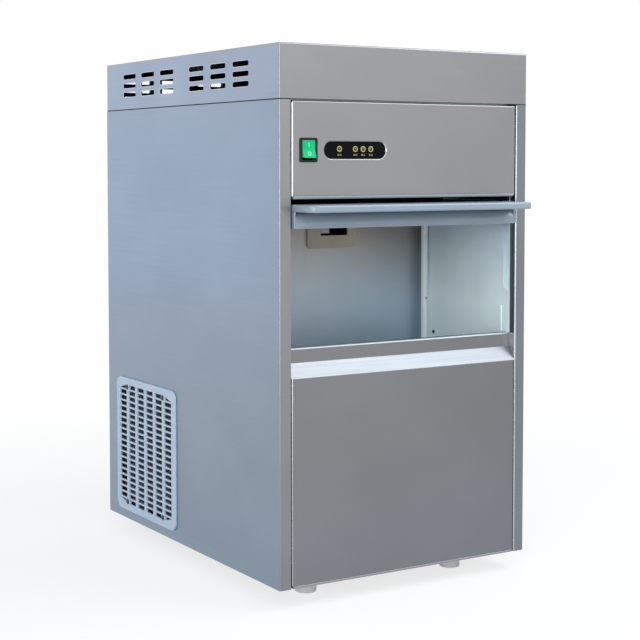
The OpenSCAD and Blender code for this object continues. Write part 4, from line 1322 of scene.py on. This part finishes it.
@dataclass
class IceBin:
    """Tub, walls, outlet, flap and sensor tube of the ice bin."""

    edge: float = 0.5
    wall: float = 179.0
    tube: tuple[float, float] = (172.0, 204.0)
    sill: float = 307.0
    throat: tuple[float, float] = (45.96, 47.96)
    throat_front: Point = (20.0, 218.2, 462.0)
    throat_long: float = 43.6

    def slot_shade_baffle(self) -> None:
        """Builds dark strips under the ceiling, behind and beside the open door, painted shade for the
        slot above the door.
        """
        shape = Shape()
        shape.block(at(-160, 142, 482), at(160, 144, 498.4), 0.0, 0.5 * MM, 0, 2)
        for inner, outer in both_sides(self.wall - 0.15, self.wall + 0.1):
            shape.block(at(inner, 13, 490.8), at(outer, 218, 498.4))
        shape.make("slot_painted_shade_baffle", Finishes.RUBBER, Body.CABINET, "rubber")

    def sleeve(self) -> None:
        """Builds the black sleeve inside the ice outlet, painted shade for its deep throat."""
        wide, high = self.throat
        shape = Shape()
        shape.ring(rounded(wide - 0.8, high - 0.8, 0.3), rounded(wide, high, 0.5), 0.0,
                   self.throat_long, stand(at(*self.throat_front), Axis.Y))
        shape.make("outlet_painted_shade_sleeve", Finishes.BLACK, Body.CABINET, "black_plastic")

    def clip_screws(self) -> None:
        """Builds the small screws that hold the sensor tube."""
        dark, pale = Shape(), Shape()
        profile = [(0, 0), (2.8, 0), (2.7, 0.7), (2.0, 1.4), (0, 1.7)]
        dark.lathe(profile, at(self.wall, self.tube[1] - 14, self.sill - 16), Axis.MINUS_X, 24)
        dark.lathe(profile, at(self.wall, self.tube[1] - 16, self.sill + 178), Axis.MINUS_X, 24)
        # This screw is in the brighter edge steel, a painted glint on a real screw head.
        pale.lathe([(0, 0), (2.2, 0), (2.1, 0.6), (1.5, 1.1), (0, 1.3)],
                   at(self.tube[0], self.tube[1] - 4.9, self.sill + 34), Axis.MINUS_Y, 20)
        dark.make("tube_clip_screws", Finishes.SCREW, Body.CABINET, "screw_steel")
        pale.make("tube_lock_screw", Finishes.EDGE, Body.CABINET, "screw_steel")

    def dress(self) -> None:
        """Finishes the bin's nodes."""
        Dresser.dress_all(
            ("bin_tub", Finishes.BIN, 0.3), ("bin_ceiling", Finishes.BIN, 0.3),
            ("left_bin_wall", Finishes.BIN_WALL, self.edge),
            ("right_bin_wall", Finishes.BIN_WALL, self.edge),
            ("bin_insulation", Finishes.FOAM, 0.0), ("sensor_tube", Finishes.TUBE, self.edge),
            ("ice_outlet", Finishes.OUTLET, 0.6), ("ice_flap", Finishes.WHITE, 0.4),
            ("bin_drain", Finishes.BLACK, 0.4))

    def build(self) -> None:
        """Builds the bin."""
        self.dress()
        self.slot_shade_baffle()
        self.sleeve()
        self.clip_screws()


@dataclass
class Feet:
    """Four turned plastic feet."""

    nodes: tuple[str, ...] = ("front_left_foot", "front_right_foot", "rear_left_foot",
                              "rear_right_foot")

    def build(self) -> None:
        """Builds each foot in place of its node."""
        for node in self.nodes:
            low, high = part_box(node)
            r, h = (high.x - low.x) / 2 / MM, (high.z - low.z) / MM
            where = Vector(((low.x + high.x) / 2, (low.y + high.y) / 2, low.z))
            shape = Shape()
            sole = [(0, 0.6), (0.55 * r, 0.6), (0.6 * r, 0), (r - 2.2, 0), (r - 0.9, 0.35),
                    (r - 0.2, 1.2)]
            side = [(r, 2.4), (r, 6.2), (r - 0.7, 6.8), (r - 0.7, 7.6), (r, 8.2), (r, h - 3.4)]
            head = [(r - 0.3, h - 2.2), (r - 1.4, h - 0.8), (r - 1.6, h), (0, h)]
            shape.lathe(sole + side + head, where, Axis.Z, 56)
            shape.make(node + "_turned", Finishes.FOOT, Body.CABINET, "foot_plastic", [node],
                       FINE_CREASE)


@dataclass
class RearFittings:
    """Water inlet, drain tail and cable gland at the back."""

    back: float = 530.0
    inlet: tuple[float, float] = (-140.0, 470.0)
    drain: tuple[float, float] = (-60.0, 19.0)
    gland: tuple[float, float] = (150.0, 40.0)
    nut_r: float = 11.5
    bore_r: float = 4.5
    ribs: int = 20

    def water_inlet(self) -> None:
        """Builds the inlet valve with its threaded neck and coil."""
        x, z = self.inlet
        shape = Shape()
        shape.block(at(x - 20, self.back - 45.2, z - 17), at(x + 20, self.back - 1.4, z + 17),
                    2.5 * MM, 1.0 * MM, 1, 3)
        thread = [(12.3, 0), (13.2, 0.9), (13.2, 1.3), (12.3, 2.2)]
        profile = [(9.2, 6.0), (15.2, 6.0), (15.2, 9.4), (14.8, 9.8)]
        for k in range(9):
            profile += [(r, 10.6 + 2.4 * k + h) for r, h in thread]
        profile += [(12.2, 32.8), (11.6, 33.8), (9.2, 33.8), (9.2, 8.0), (9.2, 6.0)]
        shape.lathe(profile, at(x, self.back - 7.8, z), Axis.Y, 48)
        shape.lathe([(0, 0), (9.4, 0), (9.4, 0.8), (0, 0.8)], at(x, self.back + 1.0, z), Axis.Y, 24)
        shape.lathe([(0, 0), (14, 0), (14, 25.0), (12.8, 26), (5, 26), (4.4, 25.2), (0, 25.2)],
                    at(x, self.back - 25.2, z + 16), Axis.Z, 40)
        spout = [(0, 0), (5.2, 0), (6, 0.8), (6, 9.0), (0, 9.0)]
        shape.lathe(spout, at(x, self.back - 53.2, z), Axis.Y, 28)
        shape.make("water_inlet_valve", Finishes.WHITE, Body.CABINET, "white_plastic", ["inlet_valve"],
                   FINE_CREASE)

    def drain_tail(self) -> None:
        """Builds the barbed drain tail."""
        x, z = self.drain
        shape = Shape()
        profile = [(7, -30), (9, -34), (9, -7.4), (15, -7.4), (15, -1.4), (12, -1.4), (12, 2.0),
                   (9.2, 2.0)]
        for k in range(4):
            start = 3.0 + 5.4 * k
            profile += [(9.1, start), (10.0, start + 0.8), (9.1, start + 5.0)]
        profile += [(8.8, 25.2), (8.2, 26), (7, 26), (7, -30)]
        shape.lathe(profile, at(x, self.back, z), Axis.Y, 48)
        shape.lathe([(0, 0), (7.2, 0), (7.2, 0.8), (0, 0.8)], at(x, self.back - 30.5, z), Axis.Y, 24)
        shape.make("barbed_drain_tail", Finishes.BLACK, Body.CABINET, "black_plastic", ["drain_tail"],
                   FINE_CREASE)

    def nut(self, shape: Shape, where: Vector, long: float) -> None:
        """Adds a hexagon nut with its bore.

        Args:
            shape: Shape that takes it.
            where: Middle of its front face.
            long: Its length.
        """
        turns = [math.tau * k / 48 for k in range(48)]
        sixth = math.pi / 6
        flat = self.nut_r * math.cos(sixth)
        reach = [flat / math.cos((a + sixth) % (2 * sixth) - sixth) for a in turns]
        outer = [(r * math.cos(a), r * math.sin(a)) for r, a in zip(reach, turns)]
        inner = [(self.bore_r * math.cos(a), self.bore_r * math.sin(a)) for a in turns]
        shape.ring(inner, outer, 0.0, long, stand(where, Axis.Y), 0.0, 0.4 * MM)

    def cable_gland(self) -> None:
        """Builds the cable gland with its nuts and rubber throat."""
        x, z = self.gland
        shape = Shape()
        for depth in (0.0, -7.2):
            self.nut(shape, at(x, self.back + depth, z), 6.0)
        bore = self.bore_r
        shape.lathe([(bore, 5.5), (9.5, 5.5), (9.5, 13), (9.0, 15.5), (7.6, 18.2), (6.0, 19.6),
                     (4.9, 20), (bore, 19.4), (bore, 5.5)], at(x, self.back, z), Axis.Y, 48)
        for k in range(self.ribs):
            turn = math.tau * k / self.ribs
            middle = at(x + 9.4 * math.cos(turn), self.back + 9.6, z + 9.4 * math.sin(turn))
            shape.block(Vector((-0.5, -3.4, -0.5)) * MM, Vector((0.5, 3.4, 0.5)) * MM,
                        turn=Matrix.Translation(middle) @ Matrix.Rotation(-turn, 4, "Y"))
        throat = [(bore, -14), (7.5, -14), (7.5, 1), (bore, 1), (bore, -14)]
        shape.lathe(throat, at(x, self.back, z), Axis.Y, 32)
        shape.make("cable_gland_nuts", Finishes.BLACK, Body.CABINET, "black_plastic", ["power_gland"],
                   FINE_CREASE)

    def build(self) -> None:
        """Builds the fittings and finishes their hoses."""
        self.water_inlet()
        self.drain_tail()
        self.cable_gland()
        for node in ("drain_hose", "inlet_hose", "feed_hose"):
            Dresser.dress(node, Finishes.HOSE)


@dataclass
class MachineRoom:
    """Ice maker and cooling parts behind the bin."""

    fins: int = 76
    fin_t: float = 0.35
    tube_r: float = 5.0
    tube_in: float = 12.0
    tube_low: float = 26.0
    tube_room: float = 54.1
    fan_x: float = -138.0
    blades: int = 5
    blade_t: float = 1.4
    blade_pitch: float = 32.0
    blade_root: float = 17.0

    def condenser(self) -> None:
        """Builds the finned condenser with its return bends."""
        low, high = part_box("condenser")
        start, end = low.y + 4 * MM, high.y - 4 * MM
        pitch = (end - start - self.fin_t * MM) / (self.fins - 1)
        shape = Shape()
        for k in range(self.fins):
            y = start + k * pitch
            thick = 2.0 * MM if k in (0, self.fins - 1) else self.fin_t * MM
            y = min(y, end - thick)
            shape.block(Vector((low.x, y, low.z)), Vector((high.x, y + thick, high.z)))
        shape.make("condenser_fins", Finishes.ALUMINIUM, Body.CABINET, "aluminium", ["condenser"],
                   FINE_CREASE)
        tubes = Shape()
        rise = (high.z - low.z - self.tube_room * MM) / 3
        r, long = self.tube_r, (high.y - low.y) / MM
        tube = [(0, 0), (r - 1, 0.2), (r, 1.4), (r, long - 1.4), (r - 1, long - 0.2), (0, long)]
        for x in (low.x + self.tube_in * MM, high.x - self.tube_in * MM):
            for k in range(4):
                foot = Vector((x, low.y, low.z + self.tube_low * MM + k * rise))
                tubes.lathe(tube, foot, Axis.Y, 24)
        tubes.make("condenser_tubes", Finishes.COPPER, Body.CABINET, "copper", (), FINE_CREASE)

    def fan(self) -> None:
        """Builds the fan with its dished blades on the hub."""
        low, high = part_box("fan_blade")
        middle = (low + high) / 2
        shape = Shape()
        hub = Vector((self.fan_x * MM, middle.y, middle.z))
        shape.lathe([(0, -8), (17, -8), (20, -5.5), (20, 8), (0, 8)], hub, Axis.X, 40)
        end = (high.x - hub.x) / MM
        shape.lathe([(0, 7), (4, 7), (4, end), (0, end)], hub, Axis.X, 20)
        root, reach = self.blade_root, (high.z - low.z) / 2 / MM - 2.5
        for k in range(self.blades):
            part = bmesh.new()
            bmesh.ops.create_grid(part, x_segments=6, y_segments=6, size=1.0)
            for vert in part.verts:
                u, v = vert.co.x, (vert.co.y + 1) / 2
                wide = 12 + 5 * v - 3.5 * v * v * abs(u)
                out = root + (reach - root) * v - 2.5 * u * u * v
                vert.co = Vector((2.4 * (1 - u * u) * v, u * wide, out)) * MM
            bmesh.ops.solidify(part, geom=list(part.faces), thickness=self.blade_t * MM)
            turn = Matrix.Translation(hub) @ Matrix.Rotation(math.tau * k / self.blades, 4, "X")
            shape.take(part, turn @ Matrix.Rotation(math.radians(self.blade_pitch), 4, "Z"))
        shape.make("fan_blades", Finishes.FAN, Body.FAN, "fan_grey", ["fan_blade"], 40.0)

    def dress(self) -> None:
        """Finishes the other parts of the machine room."""
        plan: dict[str, Finish] = {
            "machine_deck": Finishes.ZINC, "gearbox": Finishes.CAST, "drive_motor": Finishes.MOTOR,
            "evaporator_barrel": Finishes.BIN, "evaporator_coil": Finishes.COPPER,
            "evaporator_jacket": Finishes.FOAM, "ice_head": Finishes.WHITE, "auger": Finishes.BIN,
            "water_tank": Finishes.WHITE, "tank_float": Finishes.WHITE,
            "compressor": Finishes.COMPRESSOR, "compressor_grommets": Finishes.RUBBER,
            "fan_shroud": Finishes.ZINC, "fan_motor": Finishes.MOTOR,
            "filter_drier": Finishes.COPPER, "discharge_pipe": Finishes.COPPER,
            "liquid_pipe": Finishes.COPPER, "suction_pipe": Finishes.COPPER,
        }
        for node, finish in plan.items():
            Dresser.dress(node, finish)

    def build(self) -> None:
        """Builds and finishes the machine room."""
        self.condenser()
        self.fan()
        self.dress()


@dataclass
class Studio:
    """Floor, light and camera around the machine."""

    eye: Point = (-1.1339, -1.8699, 0.5685)
    tilt: float = 3.345
    heading: float = -31.674
    lens: float = 84.04
    shift: float = -0.1075
    ambient: float = 0.54
    sky: Colour = (0.96, 0.98, 1.0)
    floor_size: float = 60.0
    floor_tone: Colour = (0.60, 0.60, 0.60)

    def seen(self, tree: bpy.types.NodeTree) -> Socket:
        """Adds the test for rays that show the background.

        Args:
            tree: Node tree that takes it.

        Returns:
            A socket that is one for camera, glossy and transmission rays.
        """
        path = tree.nodes.new("ShaderNodeLightPath")
        total = path.outputs["Is Camera Ray"]
        for name in ("Is Glossy Ray", "Is Transmission Ray"):
            both = {0: total, 1: path.outputs[name]}
            total = add(tree, "ShaderNodeMath", both, operation="MAXIMUM").outputs[0]
        return total

    def world(self) -> None:
        """Sets a white surround and an even room light."""
        world = bpy.data.worlds.new("pale_room")
        bpy.context.scene.world = world
        world.use_nodes = True
        tree = world.node_tree
        tree.nodes.clear()
        light = {"Color": (*self.sky, 1.0), "Strength": self.ambient}
        room = add(tree, "ShaderNodeBackground", light)
        white = add(tree, "ShaderNodeBackground", {"Color": WHITE_PAINT, "Strength": 1.0})
        self.close(tree, room, white, "ShaderNodeOutputWorld")

    def close(self, tree: bpy.types.NodeTree, lit: bpy.types.Node, shown: bpy.types.Node,
              kind: str) -> None:
        """Ends a tree with one shader for light and another for what is seen.

        Args:
            tree: The node tree.
            lit: Shader that lights the machine.
            shown: Shader that the camera and shiny surfaces see.
            kind: Type of the output node.
        """
        inputs = {0: self.seen(tree), 1: lit.outputs[0], 2: shown.outputs[0]}
        add(tree, kind, {"Surface": add(tree, "ShaderNodeMixShader", inputs).outputs[0]})

    def far_share(self, tree: bpy.types.NodeTree) -> Socket:
        """Adds the share of plain white in the floor, full away from the machine.

        Args:
            tree: Node tree that takes it.

        Returns:
            The share's socket.
        """
        place = tree.nodes.new("ShaderNodeTexCoord").outputs["Object"]
        length = add(tree, "ShaderNodeVectorMath", {0: place}, operation="LENGTH").outputs["Value"]
        return ramp(tree, length, (0.4, 1.5), (0.72, 1.0), interpolation_type="SMOOTHSTEP")

    def floor(self) -> None:
        """Lays the pale floor that takes the shadow."""
        part = bmesh.new()
        bmesh.ops.create_grid(part, x_segments=1, y_segments=1, size=self.floor_size / 2)
        mesh = bpy.data.meshes.new("studio_floor")
        part.to_mesh(mesh)
        part.free()
        plane = bpy.data.objects.new("studio_floor", mesh)
        bpy.context.scene.collection.objects.link(plane)
        material = bpy.data.materials.new("pale_floor")
        material.use_nodes = True
        tree = material.node_tree
        tree.nodes.clear()
        matt = add(tree, "ShaderNodeBsdfDiffuse", {"Color": (*self.floor_tone, 1.0)})
        pale = add(tree, "ShaderNodeBsdfDiffuse", {"Color": WHITE_PAINT})
        glow = add(tree, "ShaderNodeEmission", {"Strength": 1.0})
        inputs = {0: self.far_share(tree), 1: pale.outputs[0], 2: glow.outputs[0]}
        self.close(tree, matt, add(tree, "ShaderNodeMixShader", inputs), "ShaderNodeOutputMaterial")
        mesh.materials.append(material)

    def softbox(self, name: str, where: Point, aim: Point, size: tuple[float, float], level: float,
                colour: Colour, mirrored: bool = True) -> None:
        """Hangs one soft light.

        Args:
            name: Name of the light.
            where: Its place.
            aim: Point that it faces.
            size: Width and height in metres.
            level: Brightness of its face, where one is white.
            colour: Its tint.
            mirrored: Whether shiny surfaces show it.
        """
        data = bpy.data.lights.new(name, "AREA")
        data.shape = "RECTANGLE"
        data.size, data.size_y = size
        data.color = colour
        data.energy = level * math.pi * size[0] * size[1]
        light = bpy.data.objects.new(name, data)
        bpy.context.scene.collection.objects.link(light)
        light.location = where
        light.rotation_euler = (Vector(aim) - Vector(where)).to_track_quat("-Z", "Y").to_euler()
        light.visible_glossy = mirrored

    def lights(self) -> None:
        """Hangs the key light, the fills and the edge light."""
        self.softbox("key_light", (1.16, -1.15, 1.78), (0.0, -0.25, 0.3), (1.6, 1.2), 3.5,
                     (0.84, 0.94, 1.0))
        self.softbox("front_fill", (-1.6, -2.6, 1.95), (0.05, -0.1, 0.35), (2.9, 2.2), 2.5,
                     (0.90, 0.98, 1.0), mirrored=False)
        self.softbox("left_fill", (-2.2, -1.7, 0.42), (0.0, -0.25, 0.3), (1.3, 1.0), 3.4,
                     (0.97, 0.99, 1.0))
        self.softbox("right_strip", (2.3, 1.3, 0.6), (0.0, -0.25, 0.4), (0.5, 1.4), 4.5, PLAIN)
        self.softbox("cool_fill", (-1.9, 2.6, 0.9), (-0.2, 0.0, 0.35), (2.6, 1.8), 0.55,
                     (0.05, 0.42, 1.0))

    def camera(self) -> None:
        """Sets the camera at the photograph's viewing angle."""
        data = bpy.data.cameras.new("view")
        data.sensor_width = 36.0
        data.lens = self.lens
        data.shift_y = self.shift
        eye = bpy.data.objects.new("view", data)
        bpy.context.scene.collection.objects.link(eye)
        eye.location = self.eye
        eye.rotation_euler = (math.radians(90 - self.tilt), 0.0, math.radians(self.heading))
        bpy.context.scene.camera = eye

    def build(self) -> None:
        """Sets up the studio."""
        bpy.context.scene.view_settings.view_transform = "Standard"
        self.camera()
        self.world()
        self.floor()
        self.lights()


def main() -> None:
    """Builds the studio and the machine, one sub-assembly at a time."""
    logging.basicConfig(level=logging.INFO, format="%(message)s")
    for assembly in (Studio(), Casing(), SideGrille(), ControlPanel(), Door(), IceBin(), Feet(),
                     RearFittings(), MachineRoom()):
        assembly.build()
        LOG.info("%s ready", type(assembly).__name__)


if __name__ == "__main__":
    main()
